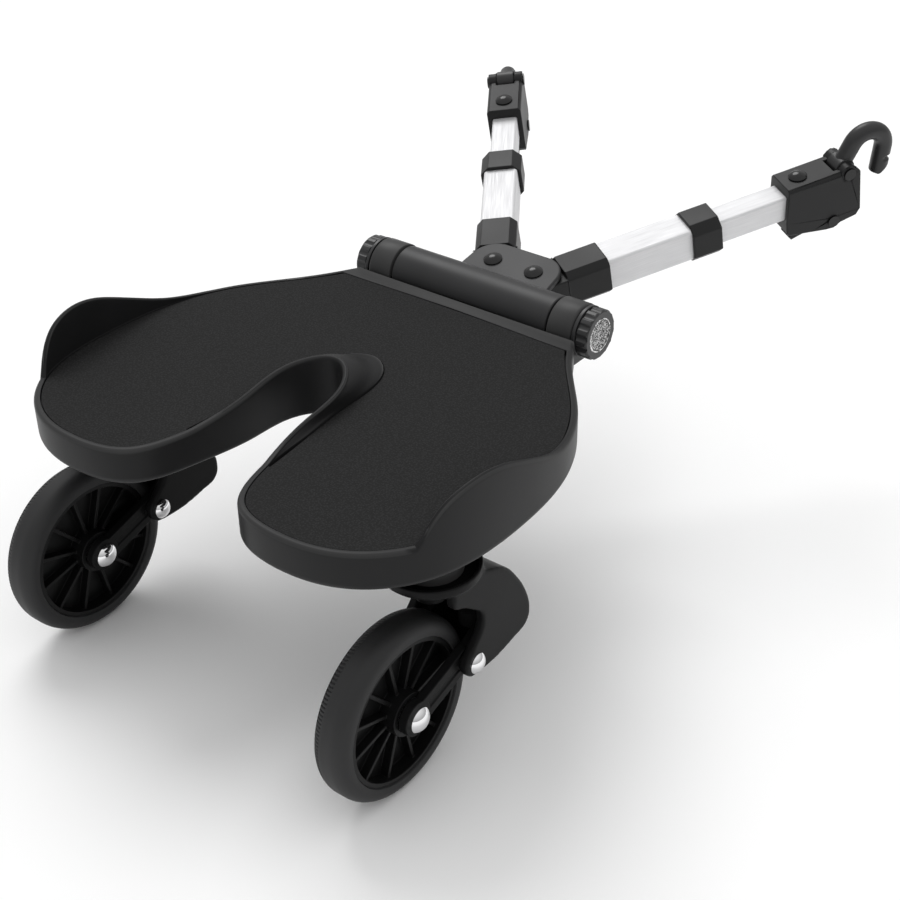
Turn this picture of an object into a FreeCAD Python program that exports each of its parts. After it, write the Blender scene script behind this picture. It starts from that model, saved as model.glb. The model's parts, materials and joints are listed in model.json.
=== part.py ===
import FreeCAD, Part
import math
import os

# Ride-on board that hooks on behind a stroller.
# X is the rider's right, Y points forward to the stroller, Z is up, the wheels stand on Z = 0.
# Lengths are in millimetres and angles in degrees. The pieces are built with the wheel
# axles over Y = 0, and the finished set is moved so that its box is centred over the origin.

Vec = FreeCAD.Vector
SIDES = {"left": -1, "right": 1}

# Clearances shared by all pieces
overrun = 30.0
seat_gap = 0.3
run_gap = 0.05
slide_gap = 0.15

# Wheels
wheel_radius = 60.0
wheel_spacing = 271.0
tyre_width = 25.0
tyre_depth = 11.5
tyre_shoulder = 7.0
rim_band = 3.0
rim_width = 22.0
web_thickness = 3.0
spoke_count = 12
spoke_thickness = 2.4
spoke_width = 15.0
spoke_turn_share = 0.4
hub_radius = 14.5
hub_width = 27.6
bearing_radius = 11.0
bearing_width = 7.0
axle_radius = 4.0
axle_cap_radius = 8.3
axle_cap_height = 5.8
axle_cap_brim = 1.6

# Trailing arms and suspension
arm_wheel_gap = 2.0
trail_arm_thickness = 6.0
trail_end_radius = 11.5
trail_bar_height = 17.0
trail_groove_height = 5.0
trail_groove_depth = 0.8
pivot_ahead = 47.4
pivot_height = 74.7
pivot_boss_radius = 9.7
trail_pivot_radius = 8.6
pivot_pin_radius = 3.5
pivot_cap_radius = 6.8
pivot_cap_height = 4.9
pivot_cap_brim = 1.4
bridge_ahead = 32.0
bridge_above = 17.0
bridge_radius = 7.0
bridge_stop_gap = 0.4
cushion_radius = 8.5

# Caster forks
trail = 40.0
fork_wall = 6.0
fork_side_gap = 1.0
fork_front = 104.0
fork_floor = 4.5
fork_front_wall = 5.4
arch_gap = 11.0
cup_radius = 31.0
cup_rim_height = 143.5
cup_rim_depth = 5.5
cup_lip = 2.6
cup_dish_depth = 9.5
cup_cone_height = 17.5
fork_hub_radius = 15.0
fork_hub_rise = 3.0
swivel_pin_radius = 6.0
swivel_head_radius = 9.0
swivel_head_height = 3.0
bush_wall = 2.0
bush_flange_radius = 13.0
bush_flange = 2.0

# Side outline of the fork: ahead of the axle as shares of fork_front, height as shares of cup_rim_height
fork_front_shares = [(0.72, 0.93), (0.83, 0.83), (0.93, 0.71), (0.985, 0.60), (0.995, 0.53), (0.93, 0.482)]
fork_rear_shares = [(0.40, 0.60), (0.505, 0.68), (0.515, 0.735), (0.38, 0.84), (0.30, 0.90)]

# Deck
deck_half_width = 171.5
deck_rear = 35.0
deck_front = 254.0
deck_height = 157.0
skirt_height = 26.0
skirt_wall = 4.0
skirt_round = 5.0
rim_round = 2.6
rim_breadth = 4.4
mat_thickness = 3.0
mat_below_rim = 0.5
mat_gap = 0.4
mat_front = 236.0
floor_thickness = 4.0
rib_thickness = 2.5
rib_pitch = 44.0
rib_height = 11.0
deck_boss_radius = 20.0
deck_boss_skin = 4.0

# Half outline of the deck from the closed end of its notch round the lobe to the front corner:
# across as shares of deck_half_width, along as shares of the length from deck_rear to deck_front
deck_outline_shares = [
    (0.0, 0.516), (0.101, 0.470), (0.135, 0.330), (0.172, 0.165), (0.268, 0.038), (0.478, 0.0),
    (0.742, 0.032), (0.928, 0.142), (0.996, 0.290), (1.0, 0.415), (0.962, 0.585), (0.866, 0.716),
    (0.660, 0.876), (0.531, 1.0),
]
outline_steps = 72
round_steps = 4

# Side wings: along as shares of wing_length, up as shares of wing_rise
wing_start = 3.0
wing_length = 158.0
wing_rise = 30.5
wing_breadth = 4.2
wing_shares = [
    (0.0, 0.0), (0.045, 0.43), (0.11, 0.78), (0.19, 0.95), (0.28, 1.0), (0.37, 0.94), (0.50, 0.70),
    (0.63, 0.41), (0.76, 0.16), (0.88, 0.04), (1.0, 0.0),
]

# Raised lip round the closed end of the notch
lip_start = 15.0
lip_end = 152.0
lip_rise = 16.0
lip_base_half = 34.8
lip_base_shares = [(1.0, 0.0), (0.86, 0.33), (0.77, 0.57), (0.75, 0.72), (0.41, 0.95), (0.0, 1.0)]
lip_crest_shares = [(0.905, 0.0), (0.759, 0.33), (0.678, 0.50), (0.559, 0.635), (0.303, 0.715), (0.0, 0.733)]

# Hinge across the front of the deck
tube_ahead = 269.6
tube_height = 179.5
sleeve_radius = 18.0
sleeve_half = 67.4
sleeve_deck_gap = 0.8
knuckle_radius = 18.7
knuckle_length = 20.0
washer_gap = 1.6
washer_thickness = 1.0
washer_radius = 15.0
hinge_rod_radius = 6.0
knob_radius = 17.9
knob_flange_radius = 18.3
knob_flange = 2.4
knob_groove = 0.8
knob_groove_depth = 0.9
knob_length = 11.8
knob_gap = 0.4
knob_edge = 1.2
flute_count = 14
flute_radius = 3.6
flute_depth = 1.1
reflector_radius = 12.4
reflector_thickness = 1.6
knob_skin = 3.0

# Yoke that carries both arms, in the plane that tilts about the hinge
tilt = 13.9
pivot_half_spacing = 18.0
pivot_reach = 39.5
arm_drop = 19.3
yoke_top_drop = 2.5
cover_thickness = 5.0
yoke_plate = 5.0
yoke_rear_half = 40.5
web_half = 34.0
yoke_round = 19.6
web_reach = 22.4
groove_half_spacing = 5.0
groove_width = 0.8
groove_depth = 0.6
hub_bolt_radius = 4.0
hub_head_radius = 6.9
hub_head_height = 3.8
hub_head_brim = 0.95
nut_radius = 7.4
nut_height = 6.0

# Arms, measured along each arm from its pivot bolt
spread = 33.2
root_radius = 16.0
root_gap = 0.4
socket_size = 31.0
socket_chamfer = 5.0
socket_end = 53.0
socket_floor = 22.5
outer_tube_size = 26.0
outer_tube_round = 2.5
outer_tube_wall = 1.8
collar_size = 32.0
collar_chamfer = 6.5
collar_start = 118.5
collar_end = 141.5
collar_stop = 130.0
lock_screw_radius = 2.5
lock_screw_head = 1.2
lock_screw_socket = 1.3
lock_screw_drive = 2.4
inner_tube_size = 20.0
inner_tube_round = 2.0
inner_tube_wall = 1.6
inner_tube_start = 62.0
inner_tube_end = 230.0

# Connector heads, measured along the arm from the pivot bolt and up from the tube axis
head_rear = 194.0
head_front = 255.0
head_top = 17.5
head_bottom = 25.0
head_half = 14.0
head_top_chamfer = 2.2
head_bolt_at = 211.0
head_bolt_radius = 3.0
slot_half = 7.4
slot_rear = 236.4
pocket_roof = 13.6
head_profile_shares = [
    (0.05, 1.0), (0.94, 1.0), (1.0, 0.82), (1.0, -0.80), (0.95, -0.97), (0.74, -1.04), (0.64, -1.17),
    (0.53, -1.14), (0.34, -1.04), (0.03, -0.88), (0.0, -0.76), (0.0, -0.44),
]

# Hooks
hook_pin_at = 246.0
hook_pin_up = 14.3
hook_pin_radius = 3.0
hook_barrel_radius = 8.0
hook_side_gap = 0.5
hook_bar_radius = 6.7
hook_bend_radius = 14.0
hook_bend_ahead = 21.5
hook_bend_above = 7.2
hook_tip_ahead = 31.0
hook_tip_below = 16.0
hook_notch_depth = 2.2
hook_notch_length = 4.0
hook_notch_from_tip = 6.0
hook_rest_degrees = {"left": -72.0, "right": 0.0}
pin_head_radius = 4.6
pin_head_height = 1.4

# Release levers
latch_pin_at = 232.4
latch_pin_down = 22.5
latch_pin_radius = 2.5
latch_barrel_radius = 5.2
latch_half = 6.6
latch_reach = 12.0
latch_tail = 33.0
latch_drop = 10.0
latch_spring_radius = 4.6
latch_spring_bore = 3.0
latch_spring_width = 4.2
latch_nose_shares = [(-0.25, 0.45), (0.20, 0.70), (0.42, 0.62), (0.50, -0.10), (0.30, -0.35)]
latch_tail_shares = [(0.06, 0.42), (0.86, -0.28), (1.0, -0.70), (0.94, -1.0), (0.74, -0.86), (0.06, -0.50)]

# Values worked out from the sizes above
rim_top = deck_height + skirt_height
mat_top = rim_top - mat_below_rim
floor_top = mat_top - mat_thickness
floor_bottom = floor_top - floor_thickness
rim_radius = wheel_radius - tyre_depth
trail_inner = tyre_width / 2 + arm_wheel_gap
trail_outer = trail_inner + trail_arm_thickness
fork_inner = trail_outer + fork_side_gap
fork_outer = fork_inner + fork_wall
arch_radius = wheel_radius + arch_gap
bridge_y = pivot_ahead + bridge_ahead
bridge_z = pivot_height + bridge_above
fork_floor_top = fork_front_shares[-1][1] * cup_rim_height + fork_floor
cup_floor = cup_rim_height - cup_dish_depth
fork_hub_top = cup_floor + fork_hub_rise
deck_boss_end = fork_hub_top + bush_flange + seat_gap
swivel_roof = wheel_radius + math.sqrt(arch_radius**2 - trail**2)
swivel_head_top = swivel_roof + swivel_head_height + seat_gap
knuckle_start = sleeve_half + washer_gap
knuckle_end = knuckle_start + knuckle_length
knob_start = knuckle_end + knob_gap
knob_end = knob_start + knob_length
yoke_top = -yoke_top_drop
root_half = arm_drop - yoke_top_drop - cover_thickness - root_gap
yoke_bottom = -arm_drop - root_half - root_gap - yoke_plate
head_length = head_front - head_rear
pocket_rear = latch_pin_at - math.hypot(latch_tail, latch_drop) - seat_gap

nodes = {}
joints = {}


def box(x0, x1, y0, y1, z0, z1):
    return Part.makeBox(x1 - x0, y1 - y0, z1 - z0, Vec(x0, y0, z0))


def bar(radius, start, end):
    """Round bar between two points."""
    span = end - start
    return Part.makeCylinder(radius, span.Length, start, span)


def across(radius, y, z, x0, x1):
    """Round bar along X at one place in the side view."""
    return bar(radius, Vec(x0, y, z), Vec(x1, y, z))


def upright(radius, x, y, z0, z1):
    return bar(radius, Vec(x, y, z0), Vec(x, y, z1))


def closed_face(points):
    return Part.Face(Part.makePolygon(points + points[:1]))


def side_prism(outline, x0, x1):
    """Solid from a side view outline of (y, z) points, between two X planes."""
    face = closed_face([Vec(x0, y, z) for y, z in outline])
    return face.extrude(Vec(x1 - x0, 0, 0))


def spline(points):
    curve = Part.BSplineCurve()
    curve.interpolate(points)
    return curve


def dome(radius, height, brim, base, direction):
    """Domed cap of a fastener: a short brim and a spherical crown."""
    crown = height - brim
    sphere_radius = (radius**2 + crown**2) / (2 * crown)
    centre = base + direction * (height - sphere_radius)
    ball = Part.makeSphere(sphere_radius, centre)
    return ball.common(bar(radius, base, base + direction * height))


def bolt_head(base):
    return dome(hub_head_radius, hub_head_height, hub_head_brim, base, Vec(0, 0, 1))


def hexagon(radius, base, rise):
    turns = [math.radians(60 * step) for step in range(6)]
    ring = [base + Vec(radius * math.cos(turn), radius * math.sin(turn), 0) for turn in turns]
    return closed_face(ring).extrude(rise)


def square_bar(size, corner, start, end):
    """Square bar with rounded corners along Y."""
    half = size / 2
    block = box(-half, half, start, end, -half, half)
    long_edges = [edge for edge in block.Edges if abs(edge.tangentAt(edge.FirstParameter).y) > 0.9]
    return block.makeFillet(corner, long_edges)


def chamfered_bar(size, chamfer, start, end):
    """Square bar with chamfered corners along Y."""
    half = size / 2
    flat = half - chamfer
    ring = [(flat, half), (half, flat), (half, -flat), (flat, -half)]
    ring += [(-x, z) for x, z in reversed(ring)]
    face = closed_face([Vec(x, start, z) for x, z in ring])
    return face.extrude(Vec(0, end - start, 0))


def in_yoke(shape):
    """Place a piece drawn about the hinge axis, level, at the tilt of the arms."""
    placed = shape.copy()
    placed.rotate(Vec(0, 0, 0), Vec(1, 0, 0), tilt)
    placed.translate(Vec(0, tube_ahead, tube_height))
    return placed


def in_arm(shape, side):
    """Place a piece drawn along Y from the arm's pivot bolt."""
    placed = shape.copy()
    placed.rotate(Vec(0, 0, 0), Vec(0, 0, 1), -side * spread)
    placed.translate(Vec(side * pivot_half_spacing, pivot_reach, -arm_drop))
    return in_yoke(placed)


def arm_point(side, point):
    return in_arm(Part.Vertex(point), side).Point


def arm_direction(side, direction):
    return arm_point(side, direction) - arm_point(side, Vec(0, 0, 0))


def beside_wheel(shape, side):
    placed = shape.copy()
    placed.translate(Vec(side * wheel_spacing / 2, 0, 0))
    return placed


def both_halves(half):
    """Mirror image of a half outline that starts on the middle plane, then the half itself."""
    return [Vec(-point.x, point.y, point.z) for point in reversed(half[1:])] + half


def deck_points(inset):
    """Points of the deck outline from its left front corner to its right one, moved in by inset."""
    span = deck_rear + deck_front
    half = [Vec(deck_half_width * x, span * y - deck_rear, 0) for x, y in deck_outline_shares]
    curve = spline(both_halves(half))
    first, last = curve.FirstParameter, curve.LastParameter
    points = []
    for step in range(outline_steps + 1):
        at = first + (last - first) * step / outline_steps
        along = curve.tangent(at)[0]
        points.append(curve.value(at) + Vec(-along.y, along.x, 0) * inset)
    return points


def closed_spline(points):
    """Loop of one smooth curve and the straight line that closes it."""
    return Part.Wire([spline(points).toShape(), Part.makeLine(points[-1], points[0])])


def deck_wire(inset, height):
    wire = closed_spline(deck_points(inset))
    wire.translate(Vec(0, 0, height))
    return wire


def deck_prism(inset, low, high):
    return Part.Face(deck_wire(inset, low)).extrude(Vec(0, 0, high - low))


def deck_slab():
    """Outer body of the deck, with a round along its bottom edge and a smaller one along its rim."""
    quarter = [math.radians(90 * step / round_steps) for step in range(round_steps + 1)]
    sections = []
    for turn in quarter:
        inset, rise = 1 - math.sin(turn), 1 - math.cos(turn)
        sections.append((skirt_round * inset, deck_height + skirt_round * rise))
    for turn in reversed(quarter):
        inset, rise = 1 - math.sin(turn), 1 - math.cos(turn)
        sections.append((rim_round * inset, rim_top - rim_round * rise))
    return Part.makeLoft([deck_wire(inset, height) for inset, height in sections], True, True)


def up_to(shape, y_limit):
    reach = deck_half_width + overrun
    low, high = -overrun, rim_top + wing_rise + overrun
    return shape.common(box(-reach, reach, -deck_rear - overrun, y_limit, low, high))


def lip_wire(shares, z_start, z_end, grow):
    """Closed loop round the notch end, on a plane that rises from z_start to z_end."""
    span = lip_end - lip_start
    half = []
    for x, y in reversed(shares):
        point = Vec((lip_base_half + grow) * x, lip_start + span * y, z_start + (z_end - z_start) * y)
        half.append(point + Vec(0, grow * y, 0))
    return closed_spline(both_halves(half))


def lip_solid():
    crest_end = rim_top + lip_rise / lip_crest_shares[-1][1]
    base = lip_wire(lip_base_shares, floor_top, floor_top, 0)
    crest = lip_wire(lip_crest_shares, rim_top, crest_end, 0)
    lip = Part.makeLoft([base, crest], True, True)
    return lip.common(deck_prism(0, deck_height, rim_top + lip_rise + overrun))


def wing_solid():
    ring = deck_prism(0, floor_top, rim_top + wing_rise + overrun)
    ring = ring.cut(deck_prism(wing_breadth, floor_top - overrun, rim_top + wing_rise + 2 * overrun))
    crest = [Vec(0, wing_start + wing_length * y, rim_top + wing_rise * z) for y, z in wing_shares]
    top = spline(crest).toShape()
    low_rear = Vec(0, wing_start, floor_top)
    low_front = Vec(0, wing_start + wing_length, floor_top)
    sides = [Part.makeLine(crest[-1], low_front), Part.makeLine(low_front, low_rear)]
    outline = Part.Wire([top] + sides + [Part.makeLine(low_rear, crest[0])])
    inner_x = deck_half_width * deck_outline_shares[-3][0]
    window = Part.Face(outline).extrude(Vec(deck_half_width + overrun - inner_x, 0, 0))
    window.translate(Vec(inner_x, 0, 0))
    right = ring.common(window)
    return right, right.mirror(Vec(0, 0, 0), Vec(1, 0, 0))


def deck_ribs():
    """Grid of ribs under the deck floor, inside the skirt."""
    low = floor_bottom - rib_height
    inside = up_to(deck_prism(skirt_wall, low, floor_bottom), deck_front - skirt_wall)
    reach = deck_half_width + overrun
    half = rib_thickness / 2
    bars = []
    for step in range(-int(reach / rib_pitch), int(reach / rib_pitch) + 1):
        at = step * rib_pitch
        bars.append(box(at - half, at + half, -deck_rear - overrun, deck_front, low, floor_bottom))
    for step in range(int((deck_front + deck_rear) / rib_pitch) + 1):
        at = step * rib_pitch - deck_rear + rib_pitch / 2
        bars.append(box(-reach, reach, at - half, at + half, low, floor_bottom))
    return bars[0].multiFuse(bars[1:]).common(inside)


def knuckle(side):
    x0, x1 = side * knuckle_start, side * knuckle_end
    barrel = across(knuckle_radius, tube_ahead, tube_height, x0, x1)
    foot = box(min(x0, x1), max(x0, x1), mat_front, tube_ahead, deck_height, tube_height)
    return barrel.fuse(foot)


def make_deck():
    slab = deck_slab()
    recess = up_to(deck_prism(rim_breadth, floor_top, rim_top + overrun), mat_front)
    hollow = up_to(deck_prism(skirt_wall, deck_height - overrun, floor_bottom), mat_front)
    deck = slab.cut(recess).cut(hollow)
    deck = deck.fuse(lip_solid())
    for wing in wing_solid():
        deck = deck.fuse(wing)
    deck = deck.fuse(deck_ribs())
    sleeve_room = sleeve_radius + sleeve_deck_gap
    deck = deck.cut(across(sleeve_room, tube_ahead, tube_height, -knuckle_start, knuckle_start))
    knob_room = knob_flange_radius + sleeve_deck_gap
    for side in SIDES.values():
        deck = deck.cut(across(knob_room, tube_ahead, tube_height, side * knuckle_end, side * knob_end))
        deck = deck.fuse(knuckle(side))
        x = side * wheel_spacing / 2
        deck = deck.fuse(upright(deck_boss_radius, x, trail, deck_boss_end, floor_bottom))
        deck = deck.cut(upright(swivel_pin_radius, x, trail, deck_boss_end, floor_bottom - deck_boss_skin))
    bore = hinge_rod_radius + run_gap
    deck = deck.cut(across(bore, tube_ahead, tube_height, -knob_end, knob_end))
    return deck.removeSplitter()


def make_mat():
    mat = up_to(deck_prism(rim_breadth + mat_gap, floor_top, mat_top), mat_front - mat_gap)
    keep_out = Part.Face(lip_wire(lip_base_shares, floor_top, floor_top, mat_gap))
    mat = mat.cut(keep_out.extrude(Vec(0, 0, mat_thickness)))
    return max(mat.Solids, key=lambda solid: solid.Volume)


def make_deck_nodes():
    nodes["deck_shell"] = make_deck()
    nodes["grip_mat"] = make_mat()


def make_knob(side):
    """Fluted hand knob at one end of the hinge, with a recess for its reflector."""
    x0, x1 = side * knob_start, side * knob_end
    flange_end = x0 + side * knob_flange
    knob = across(knob_radius, 0, 0, x0, x1)
    edge = [e for e in knob.Edges if abs(e.BoundBox.Center.x - x1) < seat_gap and e.Closed]
    knob = knob.makeChamfer(knob_edge, edge)
    for step in range(flute_count):
        turn = 2 * math.pi * step / flute_count
        away = knob_radius + flute_radius - flute_depth
        y, z = away * math.cos(turn), away * math.sin(turn)
        knob = knob.cut(across(flute_radius, y, z, flange_end, x1 + side * overrun))
    groove = across(knob_radius + overrun, 0, 0, flange_end, flange_end + side * knob_groove)
    groove = groove.cut(across(knob_radius - flute_depth - knob_groove_depth, 0, 0, x0, x1))
    knob = knob.cut(groove).fuse(across(knob_flange_radius, 0, 0, x0, flange_end))
    knob = knob.cut(across(reflector_radius, 0, 0, x1 - side * reflector_thickness, x1 + side * overrun))
    rod_end = x1 - side * (reflector_thickness + knob_skin)
    return knob.cut(across(hinge_rod_radius + run_gap, 0, 0, x0 - side * overrun, rod_end))


def make_hinge_nodes():
    rod_end = knob_end - reflector_thickness - knob_skin - seat_gap
    nodes["hinge_rod"] = across(hinge_rod_radius, tube_ahead, tube_height, -rod_end, rod_end)
    washers = []
    for side in SIDES.values():
        middle = side * (sleeve_half + washer_gap / 2)
        x0, x1 = middle - washer_thickness / 2, middle + washer_thickness / 2
        ring = across(washer_radius, tube_ahead, tube_height, x0, x1)
        washers.append(ring.cut(across(hinge_rod_radius + run_gap, tube_ahead, tube_height, x0, x1)))
    nodes["friction_washers"] = Part.makeCompound(washers)
    for name, side in SIDES.items():
        knob = make_knob(side)
        face_start = side * (knob_end - reflector_thickness)
        face = across(reflector_radius - run_gap, 0, 0, face_start, side * knob_end)
        nodes["clamp_knob_" + name] = in_yoke(knob)
        nodes["knob_reflector_" + name] = in_yoke(face)
        joints["knob_turn_" + name] = (Vec(side * knob_start, tube_ahead, tube_height), Vec(side, 0, 0))
    joints["arm_tilt"] = (Vec(0, tube_ahead, tube_height), Vec(1, 0, 0))


def yoke_outline(low, high):
    """Plan of the yoke plates: two round ends about the pivot bolts that widen back to the sleeve."""
    end_half = pivot_half_spacing + yoke_round
    corners = [(-yoke_rear_half, 0), (yoke_rear_half, 0), (end_half, pivot_reach), (-end_half, pivot_reach)]
    plate = closed_face([Vec(x, y, low) for x, y in corners]).extrude(Vec(0, 0, high - low))
    for side in SIDES.values():
        plate = plate.fuse(upright(yoke_round, side * pivot_half_spacing, pivot_reach, low, high))
    front = pivot_reach + yoke_round
    filler = box(-pivot_half_spacing, pivot_half_spacing, pivot_reach, front, low, high)
    return plate.fuse(filler).removeSplitter()


def make_yoke_nodes():
    cover_bottom = yoke_top - cover_thickness
    sleeve = across(sleeve_radius, 0, 0, -sleeve_half, sleeve_half)
    web = box(-web_half, web_half, 0, web_reach, yoke_bottom, cover_bottom)
    body = sleeve.fuse(web).fuse(yoke_outline(yoke_bottom, yoke_bottom + yoke_plate))
    body = body.cut(across(hinge_rod_radius + run_gap, 0, 0, -sleeve_half, sleeve_half))
    cover = yoke_outline(cover_bottom, yoke_top)
    cover = cover.cut(across(sleeve_radius + seat_gap, 0, 0, -sleeve_half, sleeve_half))
    for side in SIDES.values():
        x = side * groove_half_spacing
        half = groove_width / 2
        line = box(x - half, x + half, 0, pivot_reach + yoke_round, yoke_top - groove_depth, yoke_top)
        cover = cover.cut(line)
    bolts = []
    for name, side in SIDES.items():
        x = side * pivot_half_spacing
        hole = upright(hub_bolt_radius, x, pivot_reach, yoke_bottom - nut_height, yoke_top + hub_head_height)
        body = body.cut(hole)
        cover = cover.cut(hole)
        shank = upright(hub_bolt_radius, x, pivot_reach, yoke_bottom - nut_height, yoke_top)
        head = bolt_head(Vec(x, pivot_reach, yoke_top))
        nut = hexagon(nut_radius, Vec(x, pivot_reach, yoke_bottom), Vec(0, 0, -nut_height))
        bolts += [shank.fuse(head), nut.cut(shank)]
        joints["arm_spread_" + name] = (arm_point(side, Vec(0, 0, 0)), arm_direction(side, Vec(0, 0, -side)))
    nodes["yoke_body"] = in_yoke(body.removeSplitter())
    nodes["yoke_cover"] = in_yoke(cover)
    nodes["hub_bolts"] = in_yoke(Part.makeCompound(bolts))


def make_socket():
    """Arm root: a round knuckle between the yoke plates that grows into a tube socket."""
    full_start = yoke_round + root_gap
    root = upright(root_radius, 0, 0, -root_half, root_half)
    neck = box(-root_radius, root_radius, 0, full_start, -root_half, root_half)
    sleeve = chamfered_bar(socket_size, socket_chamfer, full_start, socket_end)
    body = root.fuse(neck).fuse(sleeve)
    seat = square_bar(outer_tube_size, outer_tube_round, socket_floor, socket_end + overrun)
    bore = upright(hub_bolt_radius + run_gap, 0, 0, -root_half, root_half)
    return body.cut(seat).cut(bore).removeSplitter()


def hollow_tube(size, corner, wall, start, end):
    core = square_bar(size - 2 * wall, corner - wall / 2, start - overrun, end + overrun)
    return square_bar(size, corner, start, end).cut(core)


def make_collar():
    body = chamfered_bar(collar_size, collar_chamfer, collar_start, collar_end)
    seat = square_bar(outer_tube_size, outer_tube_round, collar_start - overrun, collar_stop)
    way = square_bar(inner_tube_size + 2 * slide_gap, inner_tube_round, collar_start, collar_end + overrun)
    return body.cut(seat).cut(way).cut(lock_screw())


def lock_screw():
    """Grub screw under the collar that bears on the inner tube."""
    y = (collar_stop + collar_end) / 2
    tip = -inner_tube_size / 2 - slide_gap
    end = -collar_size / 2 - lock_screw_head
    return upright(lock_screw_radius, 0, y, end, tip)


def socketed_screw():
    y = (collar_stop + collar_end) / 2
    end = -collar_size / 2 - lock_screw_head
    drive = hexagon(lock_screw_socket, Vec(0, y, end), Vec(0, 0, lock_screw_drive))
    return lock_screw().cut(drive)


def make_head():
    """Connector head: tube socket behind, slot for the hook in front, pocket for the lever below."""
    outline = []
    for along, up in head_profile_shares:
        outline.append((head_rear + head_length * along, (head_top if up > 0 else head_bottom) * up))
    head = side_prism(outline, -head_half, head_half)
    top_edges = []
    for edge in head.Edges:
        centre = edge.BoundBox.Center
        if centre.z > head_top - seat_gap and abs(abs(centre.x) - head_half) < seat_gap:
            top_edges.append(edge)
    head = head.makeChamfer(head_top_chamfer, top_edges)
    low = -head_bottom - overrun
    front = head_front + overrun
    head = head.cut(square_bar(inner_tube_size, inner_tube_round, head_rear - overrun, inner_tube_end))
    head = head.cut(box(-slot_half, slot_half, slot_rear, front, low, head_top + overrun))
    head = head.cut(box(-slot_half, slot_half, pocket_rear, front, low, -pocket_roof))
    head = head.cut(upright(head_bolt_radius, 0, head_bolt_at, 0, head_top + overrun))
    for y, z, radius in pin_places():
        head = head.cut(across(radius, y, z, -head_half, head_half))
    return head


def pin_places():
    hook = (hook_pin_at, hook_pin_up, hook_pin_radius)
    latch = (latch_pin_at, -latch_pin_down, latch_pin_radius)
    return [hook, latch]


def make_pin(y, z, radius):
    """Pin through both cheeks of the head, with a flat head on each side."""
    pin = across(radius, y, z, -head_half, head_half)
    for side in SIDES.values():
        pin = pin.fuse(across(pin_head_radius, y, z, side * head_half, side * (head_half + pin_head_height)))
    return pin


def touch_angle(centre, radius, point, turn):
    """Direction from a circle's centre to where a line from point touches it."""
    away = point - centre
    return math.atan2(away.z, away.y) + turn * math.acos(radius / away.Length)


def make_hook():
    """Round bar bent into an open hook, on a barrel that turns on its pin."""
    pin = Vec(0, hook_pin_at, hook_pin_up)
    centre = pin + Vec(0, hook_bend_ahead, hook_bend_above)
    tip = pin + Vec(0, hook_tip_ahead, -hook_tip_below)
    start = touch_angle(centre, hook_bend_radius, pin, -1) + 2 * math.pi
    end = touch_angle(centre, hook_bend_radius, tip, 1)
    turns = [start, (start + end) / 2, end]
    first, crown, last = [centre + Vec(0, math.cos(t), math.sin(t)) * hook_bend_radius for t in turns]
    bend = Part.Arc(first, crown, last).toShape()
    path = Part.Wire([Part.makeLine(pin, first), bend, Part.makeLine(last, tip)])
    section = Part.Wire(Part.makeCircle(hook_bar_radius, pin, first - pin))
    bow = path.makePipeShell([section], True, False)
    along = (last - tip).normalize()
    outward = Vec(0, along.z, -along.y)
    notch = box(-overrun, overrun, 0, hook_notch_length, 0, overrun)
    notch.translate(Vec(0, 0, hook_bar_radius - hook_notch_depth))
    seat = FreeCAD.Placement(tip + along * hook_notch_from_tip, turned(along, outward))
    notch.Placement = seat * notch.Placement
    half = slot_half - hook_side_gap
    barrel = across(hook_barrel_radius, pin.y, pin.z, -half, half)
    hook = bow.cut(notch).fuse(barrel)
    return hook.cut(across(hook_pin_radius + run_gap, pin.y, pin.z, -half, half))


def swung_hook(degrees):
    """Hook turned on its pin: open at zero, swung down to close where the turn is negative."""
    hook = make_hook()
    hook.rotate(Vec(0, hook_pin_at, hook_pin_up), Vec(1, 0, 0), degrees)
    return hook


def turned(y_axis, z_axis):
    """Rotation that carries Y and Z to the given directions."""
    return FreeCAD.Rotation(y_axis.cross(z_axis), y_axis, z_axis, "YZX")


def make_lever():
    """Release lever: a nose that holds the closed hook and a tail to press from below."""
    half = latch_half
    y, z = latch_pin_at, -latch_pin_down
    nose = [(y + latch_reach * a, z + latch_drop * b) for a, b in latch_nose_shares]
    tail = [(y - latch_tail * a, z + latch_drop * b) for a, b in latch_tail_shares]
    lever = across(latch_barrel_radius, y, z, -half, half)
    lever = lever.fuse(side_prism(nose, -half, half)).fuse(side_prism(tail, -half, half))
    room = latch_half - latch_spring_width - seat_gap
    lever = lever.cut(across(latch_barrel_radius + seat_gap, y, z, room, half))
    return lever.cut(across(latch_pin_radius + run_gap, y, z, -half, half))


def make_lever_spring():
    y, z = latch_pin_at, -latch_pin_down
    x0 = latch_half - latch_spring_width
    ring = across(latch_spring_radius, y, z, x0, latch_half)
    return ring.cut(across(latch_spring_bore, y, z, x0, latch_half))


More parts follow.
